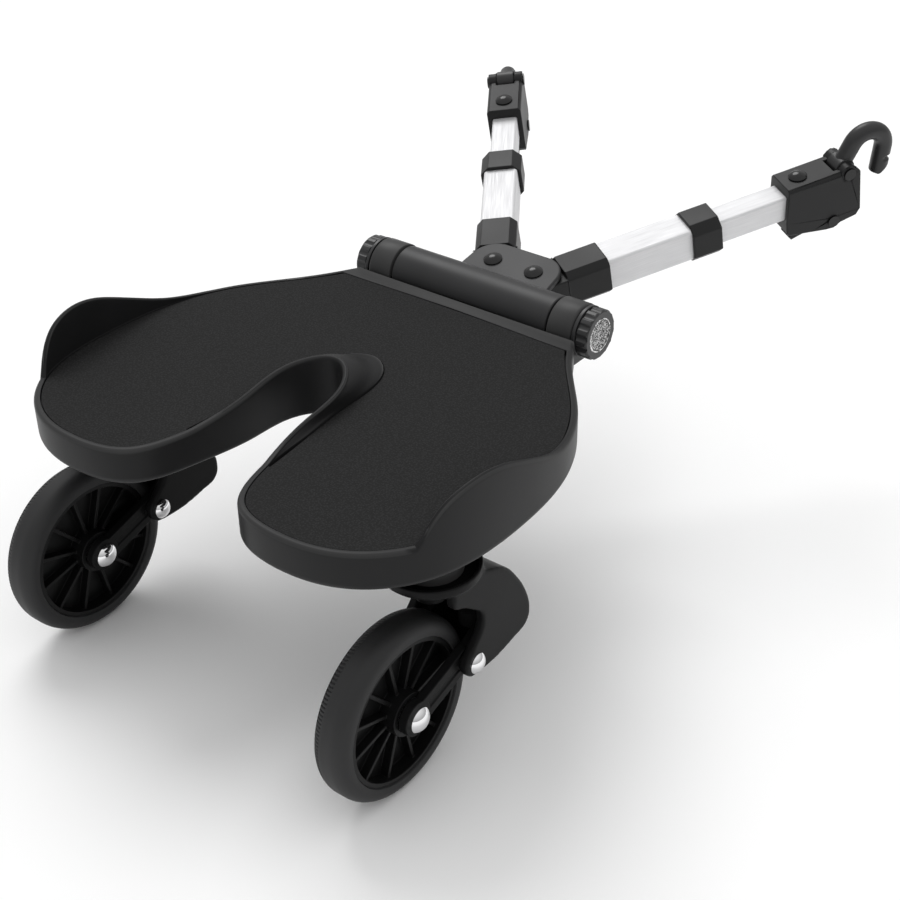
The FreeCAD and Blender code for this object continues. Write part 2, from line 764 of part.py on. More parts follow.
def make_arm_nodes():
    bolt = upright(head_bolt_radius, 0, head_bolt_at, -inner_tube_size / 2, head_top)
    bolt = bolt.fuse(bolt_head(Vec(0, head_bolt_at, head_top)))
    outer = hollow_tube(outer_tube_size, outer_tube_round, outer_tube_wall, socket_floor, collar_stop)
    inner = hollow_tube(inner_tube_size, inner_tube_round, inner_tube_wall, inner_tube_start, inner_tube_end)
    hook_pin, latch_pin = [make_pin(*place) for place in pin_places()]
    pieces = {
        "arm_socket_": make_socket(),
        "outer_tube_": outer,
        "tube_collar_": make_collar(),
        "length_screw_": socketed_screw(),
        "inner_tube_": inner.cut(bolt),
        "connector_head_": make_head(),
        "head_bolt_": bolt,
        "hook_pin_": hook_pin,
        "release_lever_": make_lever(),
        "lever_pin_": latch_pin,
        "lever_spring_": make_lever_spring(),
    }
    for name, side in SIDES.items():
        for node, shape in pieces.items():
            nodes[node + name] = in_arm(shape, side)
        nodes["hook_" + name] = in_arm(swung_hook(hook_rest_degrees[name]), side)
        joints["arm_slide_" + name] = (arm_point(side, Vec(0, 0, 0)), arm_direction(side, Vec(0, 1, 0)))
        lateral = arm_direction(side, Vec(1, 0, 0))
        joints["hook_swing_" + name] = (arm_point(side, Vec(0, hook_pin_at, hook_pin_up)), lateral)
        lever_at = arm_point(side, Vec(0, latch_pin_at, -latch_pin_down))
        joints["lever_press_" + name] = (lever_at, -lateral)


def fork_points(shares):
    return [(fork_front * y, cup_rim_height * z) for y, z in shares]


def make_fork():
    """Caster fork: a dished cup over a hollow shell that carries the trailing arm pivots."""
    boss = (pivot_ahead, pivot_height - pivot_boss_radius)
    outline = fork_points(fork_front_shares) + [boss] + fork_points(fork_rear_shares)
    shell = side_prism(outline, -fork_outer, fork_outer)
    shell = shell.fuse(across(pivot_boss_radius, pivot_ahead, pivot_height, -fork_outer, fork_outer))
    rim_low = cup_rim_height - cup_rim_depth
    cone_low = cup_rim_height - cup_cone_height
    cup = upright(cup_radius, 0, trail, rim_low, cup_rim_height)
    cone = Part.makeCone(fork_outer, cup_radius, rim_low - cone_low, Vec(0, trail, cone_low), Vec(0, 0, 1))
    fork = shell.fuse(cup).fuse(cone).removeSplitter()
    dish_radius = cup_radius - cup_lip
    dish_floor = Vec(0, trail, cup_floor)
    dish = Part.makeCone(fork_hub_radius + cup_lip, dish_radius, cup_dish_depth, dish_floor, Vec(0, 0, 1))
    fork = fork.cut(dish).fuse(upright(fork_hub_radius, 0, trail, swivel_roof, fork_hub_top))
    arch = across(arch_radius, 0, wheel_radius, -fork_inner, fork_inner)
    roof = bridge_z + bridge_radius + bridge_stop_gap
    pocket = side_prism(outline, -fork_inner, fork_inner)
    pocket.translate(Vec(0, -fork_front_wall, 0))
    pocket = pocket.common(box(-fork_inner, fork_inner, 0, fork_front, fork_floor_top, roof))
    below = box(-fork_inner, fork_inner, -overrun, pivot_ahead + pivot_boss_radius, 0, roof)
    fork = fork.cut(arch).cut(pocket).cut(below)
    bush_radius = swivel_pin_radius + bush_wall
    fork = fork.cut(upright(bush_radius, 0, trail, swivel_roof - overrun, fork_hub_top))
    fork = fork.cut(upright(swivel_head_radius + seat_gap, 0, trail, swivel_roof - overrun, swivel_head_top))
    return fork.cut(across(pivot_pin_radius, pivot_ahead, pivot_height, -fork_outer, fork_outer))


def make_swing_arm():
    """Trailing arm: a plate on each side of the wheel, joined by a bridge ahead of the tyre."""
    plates = []
    for side in SIDES.values():
        x0, x1 = side * trail_inner, side * trail_outer
        plate = across(trail_end_radius, 0, wheel_radius, x0, x1)
        plate = plate.fuse(across(trail_pivot_radius, pivot_ahead, pivot_height, x0, x1))
        plate = plate.fuse(across(bridge_radius, bridge_y, bridge_z, x0, x1))
        plate = plate.fuse(link(0, wheel_radius, pivot_ahead, pivot_height, trail_bar_height, x0, x1))
        plate = plate.fuse(link(pivot_ahead, pivot_height, bridge_y, bridge_z, 2 * bridge_radius, x0, x1))
        groove_floor = x1 - side * trail_groove_depth
        groove = link(0, wheel_radius, pivot_ahead, pivot_height, trail_groove_height, groove_floor, x1)
        groove = groove.cut(across(trail_end_radius, 0, wheel_radius, x0, x1))
        groove = groove.cut(across(trail_pivot_radius, pivot_ahead, pivot_height, x0, x1))
        plate = plate.cut(groove)
        plate = plate.cut(across(pivot_pin_radius + run_gap, pivot_ahead, pivot_height, x0, x1))
        plates.append(plate.cut(across(axle_radius, 0, wheel_radius, x0, x1)))
    bridge = across(bridge_radius, bridge_y, bridge_z, -trail_inner, trail_inner)
    return plates[0].fuse(plates[1]).fuse(bridge).removeSplitter()


def link(y0, z0, y1, z1, height, x0, x1):
    """Flat bar between two places in the side view."""
    along = Vec(0, y1 - y0, z1 - z0).normalize()
    rise = Vec(0, -along.z, along.y) * (height / 2)
    corners = [(y0 + rise.y, z0 + rise.z), (y1 + rise.y, z1 + rise.z)]
    corners += [(y1 - rise.y, z1 - rise.z), (y0 - rise.y, z0 - rise.z)]
    return side_prism(corners, x0, x1)


def make_rim():
    """Wheel centre: hub, thin web, spokes on both sides and the band under the tyre."""
    half = rim_width / 2
    rim = across(rim_radius, 0, wheel_radius, -half, half)
    rim = rim.cut(across(rim_radius - rim_band, 0, wheel_radius, -half, half))
    rim = rim.fuse(across(rim_radius - rim_band / 2, 0, wheel_radius, -web_thickness / 2, web_thickness / 2))
    for step in range(spoke_count):
        half_x, half_z = spoke_width / 2, spoke_thickness / 2
        spoke = box(-half_x, half_x, 0, rim_radius - rim_band / 2, -half_z, half_z)
        spoke.rotate(Vec(0, 0, 0), Vec(1, 0, 0), 360 * (step + spoke_turn_share) / spoke_count)
        spoke.translate(Vec(0, 0, wheel_radius))
        rim = rim.fuse(spoke)
    rim = rim.fuse(across(hub_radius, 0, wheel_radius, -hub_width / 2, hub_width / 2))
    rim = rim.cut(across(axle_radius + seat_gap, 0, wheel_radius, -hub_width, hub_width))
    for side in SIDES.values():
        end = side * hub_width / 2
        rim = rim.cut(across(bearing_radius, 0, wheel_radius, end - side * bearing_width, end))
    return rim.removeSplitter()


def make_tyre():
    half = tyre_width / 2
    tyre = across(wheel_radius, 0, wheel_radius, -half, half)
    edges = [edge for edge in tyre.Edges if edge.Closed]
    tyre = tyre.makeFillet(tyre_shoulder, edges)
    return tyre.cut(across(rim_radius, 0, wheel_radius, -half, half))


def make_bearings():
    rings = []
    for side in SIDES.values():
        end = side * hub_width / 2
        ring = across(bearing_radius, 0, wheel_radius, end - side * bearing_width, end)
        rings.append(ring.cut(across(axle_radius + run_gap, 0, wheel_radius, -hub_width, hub_width)))
    return Part.makeCompound(rings)


def make_axle_caps():
    caps = []
    for side in SIDES.values():
        base = Vec(side * trail_outer, 0, wheel_radius)
        caps.append(dome(axle_cap_radius, axle_cap_height, axle_cap_brim, base, Vec(side, 0, 0)))
    return Part.makeCompound(caps)


def make_pivot_pins():
    pins = []
    for side in SIDES.values():
        pin = across(pivot_pin_radius, pivot_ahead, pivot_height, side * trail_inner, side * fork_outer)
        base = Vec(side * fork_outer, pivot_ahead, pivot_height)
        pins.append(pin.fuse(dome(pivot_cap_radius, pivot_cap_height, pivot_cap_brim, base, Vec(side, 0, 0))))
    return Part.makeCompound(pins)


def make_swivel_pin():
    pin = upright(swivel_pin_radius, 0, trail, swivel_roof, floor_bottom - deck_boss_skin)
    return pin.fuse(upright(swivel_head_radius, 0, trail, swivel_roof, swivel_roof + swivel_head_height))


def make_swivel_bush():
    bush = upright(swivel_pin_radius + bush_wall, 0, trail, swivel_head_top, fork_hub_top)
    bush = bush.fuse(upright(bush_flange_radius, 0, trail, fork_hub_top, fork_hub_top + bush_flange))
    return bush.cut(upright(swivel_pin_radius + run_gap, 0, trail, swivel_roof, deck_boss_end))


def make_caster_nodes():
    cushion_top = bridge_z - bridge_radius - seat_gap
    pieces = {
        "swivel_pin_": make_swivel_pin(),
        "swivel_bush_": make_swivel_bush(),
        "caster_fork_": make_fork(),
        "swing_arm_": make_swing_arm(),
        "pivot_pins_": make_pivot_pins(),
        "suspension_cushion_": upright(cushion_radius, 0, bridge_y, fork_floor_top, cushion_top),
        "axle_": across(axle_radius, 0, wheel_radius, -trail_outer, trail_outer),
        "axle_caps_": make_axle_caps(),
        "wheel_rim_": make_rim(),
        "wheel_tyre_": make_tyre(),
        "wheel_bearings_": make_bearings(),
    }
    for name, side in SIDES.items():
        for node, shape in pieces.items():
            nodes[node + name] = beside_wheel(shape, side)
        x = side * wheel_spacing / 2
        joints["caster_swivel_" + name] = (Vec(x, trail, fork_hub_top), Vec(0, 0, 1))
        joints["swing_" + name] = (Vec(x, pivot_ahead, pivot_height), Vec(-1, 0, 0))
        joints["wheel_spin_" + name] = (Vec(x, 0, wheel_radius), Vec(1, 0, 0))


def centre_and_save():
    """Centre the set's box over the origin, write each piece and print the joint places."""
    whole = Part.makeCompound(list(nodes.values())).optimalBoundingBox(False)
    shift = Vec(-(whole.XMin + whole.XMax) / 2, -(whole.YMin + whole.YMax) / 2, 0)
    os.makedirs("parts", exist_ok=True)
    for node, shape in nodes.items():
        shape.translate(shift)
        shape.exportStep("parts/" + node + ".step")
        state = "valid" if shape.isValid() else "INVALID"
        print(node, state, len(shape.Solids), "solids", round(shape.Volume))
    for name, (place, axis) in joints.items():
        place = place + shift
        print("joint", name, [round(v, 4) for v in place], [round(v, 6) for v in axis])
    sides = (whole.XMin + shift.x, whole.XMax + shift.x, whole.YMin + shift.y, whole.YMax + shift.y)
    print("box", [round(v, 2) for v in sides])
    print("height", round(whole.ZMin, 3), round(whole.ZMax, 3), "shift", round(shift.x, 4), round(shift.y, 4))


make_deck_nodes()
make_hinge_nodes()
make_yoke_nodes()
make_arm_nodes()
make_caster_nodes()
centre_and_save()
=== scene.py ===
import json
import math

import bmesh
import bpy
import numpy as np
from mathutils import Matrix, Vector


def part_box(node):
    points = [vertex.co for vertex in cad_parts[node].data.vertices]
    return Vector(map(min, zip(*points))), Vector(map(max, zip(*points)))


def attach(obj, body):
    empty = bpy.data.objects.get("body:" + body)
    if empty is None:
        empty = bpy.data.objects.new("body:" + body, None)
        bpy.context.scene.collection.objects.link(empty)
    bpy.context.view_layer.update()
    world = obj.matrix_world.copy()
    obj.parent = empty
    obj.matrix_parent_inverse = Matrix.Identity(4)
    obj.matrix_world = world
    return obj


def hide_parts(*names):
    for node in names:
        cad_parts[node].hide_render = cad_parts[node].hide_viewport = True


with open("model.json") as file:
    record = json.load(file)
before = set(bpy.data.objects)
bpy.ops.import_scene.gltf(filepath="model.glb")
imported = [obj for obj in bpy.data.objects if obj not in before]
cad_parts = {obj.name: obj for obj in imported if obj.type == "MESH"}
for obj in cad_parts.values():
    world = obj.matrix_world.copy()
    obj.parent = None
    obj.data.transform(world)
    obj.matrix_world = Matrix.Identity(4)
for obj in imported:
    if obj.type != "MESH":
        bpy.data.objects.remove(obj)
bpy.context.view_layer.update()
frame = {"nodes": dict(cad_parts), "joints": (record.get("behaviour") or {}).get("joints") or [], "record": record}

MM = 0.001
SIDES = {"left": -1, "right": 1}
nodes = frame["nodes"]
joints = {joint["name"]: joint for joint in frame["joints"]}

# Places read from the frame
tyre_low, tyre_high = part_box("wheel_tyre_right")
hinge = Vector(joints["arm_tilt"]["pos_m"])
middle_x = hinge.x
wheel_reach = (tyre_low.x + tyre_high.x) / 2 - middle_x
axle_y = (tyre_low.y + tyre_high.y) / 2
wheel_radius = (tyre_high.z - tyre_low.z) / 2
swivel_y = joints["caster_swivel_right"]["pos_m"][1]
pivot = Vector(joints["swing_right"]["pos_m"])
deck_low, deck_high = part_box("deck_shell")
mat_low, mat_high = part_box("grip_mat")
fork_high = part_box("caster_fork_right")[1]
arm_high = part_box("swing_arm_right")[1]
knob_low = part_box("clamp_knob_right")[0]
swivel_pin_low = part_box("swivel_pin_right")[0]

# Distances under which points of a mesh count as one
merge_gap = 0.01 * MM
sliver_gap = 0.005 * MM
weld_gap = 0.002 * MM
cover_gap = 0.02 * MM
least_length = 1e-9

# Fineness of round and curved shapes
bar_segments = 40
pin_segments = 48
disc_segments = 64
cup_segments = 72
knuckle_segments = 96
quarter_steps = 5
sharp_degrees = 38

# Deck: outline and levels
deck_half_width = deck_high.x - middle_x
outline_behind_hinge = 15.6 * MM
deck_behind_hinge = 19.2 * MM
mat_gap = 0.4 * MM
rim_above_mat = 0.5 * MM
skirt_height = 25.0 * MM
floor_thickness = 4.0 * MM
deck_span = hinge.y - outline_behind_hinge - deck_low.y
deck_front = hinge.y - deck_behind_hinge
mat_front = mat_high.y + mat_gap
rim_top = mat_high.z + rim_above_mat
skirt_bottom = rim_top - skirt_height
floor_under = mat_low.z - floor_thickness
skirt_wall = 4.0 * MM
skirt_foot = 2.4 * MM
skirt_round = 4.5 * MM
rim_breadth = 4.4 * MM
rim_round = 2.6 * MM
rim_inner_round = 0.4 * MM
rim_wall_share = 1.5
crest_inner_round = 1.6 * MM
notch_drop = 2.5 * MM
notch_drop_ahead = 10.0 * MM
notch_drop_start = axle_y + notch_drop_ahead
notch_drop_length = 75.0 * MM
deck_outline_shares = [
    (0.0, 0.516), (0.101, 0.470), (0.135, 0.330), (0.172, 0.165), (0.268, 0.038), (0.478, 0.0),
    (0.742, 0.032), (0.928, 0.142), (0.996, 0.290), (1.0, 0.415), (0.962, 0.585), (0.866, 0.716),
    (0.660, 0.876), (0.531, 1.0),
]
outline_samples = 1601
deck_station_step = 5

# Side wings
wing_ahead = 3.0 * MM
wing_start = axle_y + wing_ahead
wing_length = 158.0 * MM
wing_rise = 30.5 * MM
wing_breadth = 3.9 * MM
wing_shares = [
    (0.0, 0.0), (0.045, 0.43), (0.11, 0.78), (0.19, 0.95), (0.28, 1.0), (0.37, 0.94), (0.50, 0.70),
    (0.63, 0.41), (0.76, 0.16), (0.88, 0.04), (1.0, 0.0),
]
wing_foot_rise = 0.6 * MM
wing_blend = 8.0 * MM
wing_samples = 400

# Raised lip round the closed end of the notch
lip_ahead = 15.0 * MM
lip_start = axle_y + lip_ahead
lip_length = 137.0 * MM
lip_rise = 16.0 * MM
lip_base_half = 34.8 * MM
lip_breadth = 4.0 * MM
lip_foot_rise = 1.6 * MM
lip_foot_round = 1.3 * MM
lip_blend = 30.0 * MM
lip_samples = 801
slope_shares = (0.2, 0.4, 0.6, 0.8, 1.0)
toe_share = 0.3
lip_base_shares = [(1.0, 0.0), (0.86, 0.33), (0.77, 0.57), (0.75, 0.72), (0.41, 0.95), (0.0, 1.0)]
lip_crest_shares = [
    (0.905, 0.0), (0.759, 0.33), (0.678, 0.50), (0.559, 0.635), (0.303, 0.715), (0.0, 0.733),
]

# Under the deck, and the hinge knuckles at its front corners
rib_pitch = 44.0 * MM
rib_thickness = 2.5 * MM
rib_height = 11.0 * MM
boss_radius = 20.0 * MM
knuckle_radius = 18.7 * MM
knob_gap = 0.4 * MM
knuckle_length = 20.0 * MM
knuckle_end = knob_low.x - middle_x - knob_gap
knuckle_start = knuckle_end - knuckle_length
knuckle_edge = 1.2 * MM

# Caster forks
fork_wall = 6.0 * MM
fork_arm_gap = 1.0 * MM
fork_outer = arm_high.x - middle_x - wheel_reach + fork_arm_gap + fork_wall
fork_reach = fork_high.y - axle_y
cup_rim_height = fork_high.z
cup_radius = 31.0 * MM
cup_lip = 2.6 * MM
cup_slope_shares = (1.4, 2.6)
cup_band = 5.5 * MM
cup_dish_depth = 9.5 * MM
cup_floor = 4.5 * MM
cup_neck_radius = 20.0 * MM
cup_neck_ahead = 8.0 * MM
cup_neck_drop = 17.5 * MM
hub_radius = 15.0 * MM
hub_rise = 3.0 * MM
hub_under_radius = 10.0 * MM
hub_under_pin = 0.8 * MM
hub_bottom = swivel_pin_low.z - hub_under_pin
fork_front_wall = 5.4 * MM
boss_outer_radius = 9.7 * MM
fork_front_shares = [
    (0.529, 0.962), (0.635, 0.934), (0.733, 0.898), (0.808, 0.847), (0.869, 0.787), (0.918, 0.732),
    (0.953, 0.682), (0.983, 0.627), (0.997, 0.580), (0.992, 0.532), (0.946, 0.490), (0.875, 0.478),
    (0.806, 0.468), (0.634, 0.449), (0.456, 0.453),
]
fork_rear_shares = [
    (0.3625, 0.5206), (0.402, 0.570), (0.447, 0.606), (0.479, 0.631), (0.518, 0.669), (0.532, 0.718),
    (0.510, 0.763), (0.4615, 0.794), (0.404, 0.826), (0.354, 0.852), (0.269, 0.885), (0.269, 0.945),
]
fork_front_samples = 60
fork_rear_samples = 40
fork_voxel = 1.0 * MM
fork_smooth_share = 0.5
fork_smooth_rounds = 5

# Hooks, in the arm's own axes from the hook's pin
hook_bend_radius = 14.0 * MM
hook_bend_ahead = 21.5 * MM
hook_bend_above = 7.2 * MM
hook_tip_ahead = 31.0 * MM
hook_tip_below = 17.0 * MM
hook_bar_radius = 6.7 * MM
hook_barrel_radius = 8.0 * MM
hook_barrel_half = 6.9 * MM
hook_barrel_edge_share = 0.93
hook_notch_from_tip = 13.5 * MM
hook_notch_half = 2.4 * MM
hook_notch_depth = 3.4 * MM
hook_notch_reach_share = 0.5
hook_tip_taper = 2.0 * MM
hook_tip_end_share = 0.45
hook_tip_bevel = 9.0 * MM
hook_bevel_shares = (-0.5, 1.5)
hook_step = 0.5 * MM
hook_rest_degrees = {"left": -72.0, "right": 0.0}

# Yoke's upper plate
cover_round = 1.6 * MM

# Heads, with ears round the hook's pin
head_half = 14.0 * MM
head_round = 0.8 * MM
ear_start = 7.6 * MM
ear_radius = 6.8 * MM

# Knob reflectors
reflector_radius = 12.4 * MM
reflector_ring = 0.7 * MM
cell_pitch = 1.25 * MM
cell_lift_share = 0.9
cell_pit_share = 2.1
field_floor_share = 2.3
cell_sharp_degrees = 20

# Tyres
tyre_height = 11.5 * MM
tyre_inner_radius = wheel_radius - tyre_height
tyre_shoulder = 9.5 * MM
tyre_shoulder_drop = 8.0 * MM
tyre_wall_lean = 0.5 * MM
tyre_crown_share = 0.7
lug_count = 150
lug_depth = 0.8 * MM
lug_first_degrees = 12
lug_last_degrees = 50
lug_wave_shares = (0.0, 0.0, 0.15, 1.0, 1.0, 0.15)
lug_end_degrees = (lug_first_degrees, lug_first_degrees + 1, lug_last_degrees - 1, lug_last_degrees)
shoulder_degrees = sorted((6, 20, 28, 35, 42, 58, 66, 74, 82, 90, *lug_end_degrees))

# Widths of the rounded edges on the frame's own nodes
soft_edges = {
    "yoke_body": 1.2 * MM, "arm_socket": 1.0 * MM, "tube_collar": 0.8 * MM,
    "release_lever": 0.6 * MM, "swing_arm": 0.6 * MM, "clamp_knob": 0.4 * MM,
    "wheel_rim": 0.4 * MM, "outer_tube": 0.3 * MM, "inner_tube": 0.3 * MM, "grip_mat": 0.3 * MM,
}

# Nodes whose flat faces have holes or deep bays
holed_kinds = ("arm_socket", "tube_collar", "release_lever")

# Rounding of edges
bevel_segments = 3
bevel_least_degrees = 28
flat_degrees = 0.5

# Part of a pattern's range that is drawn out to the full
pattern_low = 0.3
pattern_high = 0.7

# Moulded plastics and rubbers: shade, roughness, specular level, pitch and depth of the grain
plastic_finishes = {
    "deck_plastic": (0.014, 0.42, 0.15, 0.7 * MM, 0.025 * MM),
    "yoke_plastic": (0.030, 0.42, 0.24, 0.6 * MM, 0.018 * MM),
    "knob_plastic": (0.030, 0.36, 0.35, 0.6 * MM, 0.018 * MM),
    "arm_plastic": (0.011, 0.42, 0.25, 0.6 * MM, 0.018 * MM),
    "hook_plastic": (0.020, 0.40, 0.4, 0.9 * MM, 0.012 * MM),
    "bolt_black": (0.004, 0.16, 0.4, 1.5 * MM, 0.003 * MM),
    "washer_fibre": (0.03, 0.8, 0.2, 0.6 * MM, 0.03 * MM),
    "caster_plastic": (0.007, 0.42, 0.11, 0.7 * MM, 0.018 * MM),
    "bush_plastic": (0.012, 0.40, 0.3, 0.8 * MM, 0.01 * MM),
    "wheel_plastic": (0.004, 0.42, 0.22, 0.7 * MM, 0.014 * MM),
    "tyre_rubber": (0.019, 0.55, 0.34, 0.8 * MM, 0.02 * MM),
    "cushion_rubber": (0.03, 0.7, 0.25, 0.8 * MM, 0.03 * MM),
}
mat_finish = (0.020, 0.85, 0.15, 1.3 * MM, 0.16 * MM)
mottle_pitch = 50.0 * MM
mottle_share = 0.1
sheen_spread = 0.04
blue_share = 1.03

# Shade of the painted highlight on the deck's edges, and the curvature at which it starts and is full
edge_highlight = (0.065, 0.515, 0.545)

# Metals: shade and roughness
metal_finishes = {"steel": (0.58, 0.28), "cap_chrome": (0.86, 0.07)}
tube_finish = (0.78, 0.74)
reflector_shades = (0.08, 0.85)
reflector_roughness = (0.12, 0.25)
glint_share = 0.6
scratch_pitch = 0.35 * MM
scratch_depth = 0.006 * MM
scratch_stretch = 80
cloud_pitch = 30.0 * MM

# Camera, as fitted to the photograph
camera_place = Vector((611.95, -541.91, 705.08)) * MM + Vector((middle_x, axle_y, 0))
camera_azimuth = math.radians(38.355)
camera_elevation = math.radians(32.852)
camera_roll = math.radians(-1.015)
focal_pixels = 1606.8
frame_pixels = 900
sensor_width = 36.0
camera_near = 10.0 * MM

# Light
key_direction = Vector((-0.50, 0.34, 0.80))
key_strength = 1.1
key_spread = math.radians(32)
sky_light = 0.92
horizon_light = 0.37
sky_height = 0.8
floor_shade = 0.99
floor_roughness = 0.9
floor_half = 60.0


def smooth_curve(points, count):
    """Points along a smooth curve through the given ones, evenly spaced by chord length."""
    points = np.array(points, float)
    chord = np.concatenate([[0], np.cumsum(np.linalg.norm(np.diff(points, axis=0), axis=1))])
    last = len(points) - 1
    system = np.eye(len(points))
    pull = np.zeros(points.shape)
    for i in range(1, last):
        before, after = chord[i] - chord[i - 1], chord[i + 1] - chord[i]
        system[i, i - 1:i + 2] = before, 2 * (before + after), after
        pull[i] = 6 * ((points[i + 1] - points[i]) / after - (points[i] - points[i - 1]) / before)
    bend = np.linalg.solve(system, pull)
    at = np.linspace(0, chord[-1], count)
    span = np.clip(np.searchsorted(chord, at, side="right") - 1, 0, last - 1)
    width = (chord[span + 1] - chord[span])[:, None]
    ahead = (at - chord[span])[:, None] / width
    behind = 1 - ahead
    curve = (behind**3 - behind) * bend[span] + (ahead**3 - ahead) * bend[span + 1]
    return behind * points[span] + ahead * points[span + 1] + curve * width**2 / 6


def both_halves(half):
    """Mirrors a half outline that starts on the middle plane."""
    return [(-x, y) for x, y in reversed(half[1:])] + half


def ease(share):
    """Soft step from 0 to 1."""
    share = np.clip(share, 0, 1)
    return share * share * (3 - 2 * share)


def new_object(name, data):
    """Puts a new object into the scene."""
    thing = bpy.data.objects.new(name, data)
    bpy.context.scene.collection.objects.link(thing)
    return thing


def add_object(name, mesh, body, material):
    """Adds a piece that moves with a body and wears a slot's finish."""
    piece = new_object(name, mesh)
    mesh.materials.append(material)
    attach(piece, body)
    return piece


def plain_mesh(bm, name):
    """Turns a mesh in the making into a finished one."""
    mesh = bpy.data.meshes.new(name)
    bm.to_mesh(mesh)
    bm.free()
    return mesh


def finish_mesh(bm, name, degrees=sharp_degrees):
    """Cleans a mesh, shades it smooth and keeps the edges sharper than the given angle."""
    bmesh.ops.remove_doubles(bm, verts=bm.verts, dist=merge_gap)
    bmesh.ops.dissolve_degenerate(bm, edges=bm.edges, dist=sliver_gap)
    bmesh.ops.recalc_face_normals(bm, faces=bm.faces)
    limit = math.radians(degrees)
    for face in bm.faces:
        face.smooth = True
    for edge in bm.edges:
        edge.smooth = len(edge.link_faces) == 2 and edge.calc_face_angle() < limit
    return plain_mesh(bm, name)


def add_grid(bm, rows, wrap_rows=False, wrap_columns=False):
    """Adds quads over a grid of points and returns its vertices."""
    verts = [[bm.verts.new(point) for point in row] for row in rows]
    row_count, column_count = len(verts), len(verts[0])
    for i in range(row_count if wrap_rows else row_count - 1):
        for j in range(column_count if wrap_columns else column_count - 1):
            near, far = verts[i], verts[(i + 1) % row_count]
            k = (j + 1) % column_count
            bm.faces.new((near[j], near[k], far[k], far[j]))
    return verts


def add_rings(bm, rings):
    """Adds a closed skin through loops of points, with a face on each end."""
    verts = add_grid(bm, rings, wrap_columns=True)
    bm.faces.new(verts[0])
    bm.faces.new(verts[-1])


def add_prism(bm, outline, x_start, x_end):
    """Adds a plate: an outline of (y, z) points carried from one x to another."""
    add_rings(bm, [[(x, y, z) for y, z in outline] for x in (x_start, x_end)])


def add_box(bm, low, high):
    """Adds a box between two corners."""
    outline = [(low[1], low[2]), (high[1], low[2]), (high[1], high[2]), (low[1], high[2])]
    add_prism(bm, outline, low[0], high[0])


def add_turning(bm, profile, origin, axis, segments):
    """Adds a body of revolution: profile is (along the axis, radius), closed by a disc at each end."""
    axis = Vector(axis).normalized()
    first = axis.orthogonal().normalized()
    second = axis.cross(first)
    rings = []
    for along, radius in profile:
        ring = []
        for step in range(segments):
            turn = 2 * math.pi * step / segments
            offset = first * math.cos(turn) + second * math.sin(turn)
            ring.append(Vector(origin) + axis * along + offset * radius)
        rings.append(ring)
    add_rings(bm, rings)


def deck_stations():
    """Right half of the deck's outline from the notch to the hinge: points and inward normals."""
    half = [(deck_half_width * x, deck_low.y + deck_span * y) for x, y in deck_outline_shares]
    whole = smooth_curve(both_halves(half), outline_samples)
    along = np.gradient(whole, axis=0)
    along /= np.linalg.norm(along, axis=1)[:, None]
    inward = np.c_[-along[:, 1], along[:, 0]]
    start = outline_samples // 2
    points, inward = whole[start::deck_station_step], inward[start::deck_station_step]
    keep = points[:, 1] <= deck_front
    return points[keep], inward[keep]


def lip_feet(points):
    """For each outline point in the notch, the foot of the lip's slope on the mat."""
    base = [(lip_base_half * x, lip_start + lip_length * y) for x, y in reversed(lip_base_shares)]
    crest = [(lip_base_half * x, lip_start + lip_length * y) for x, y in reversed(lip_crest_shares)]
    base = smooth_curve(both_halves(base), lip_samples)
    crest = smooth_curve(both_halves(crest), lip_samples)
    nearest = [np.argmin(np.linalg.norm(crest - point, axis=1)) for point in points]
    return base[nearest]


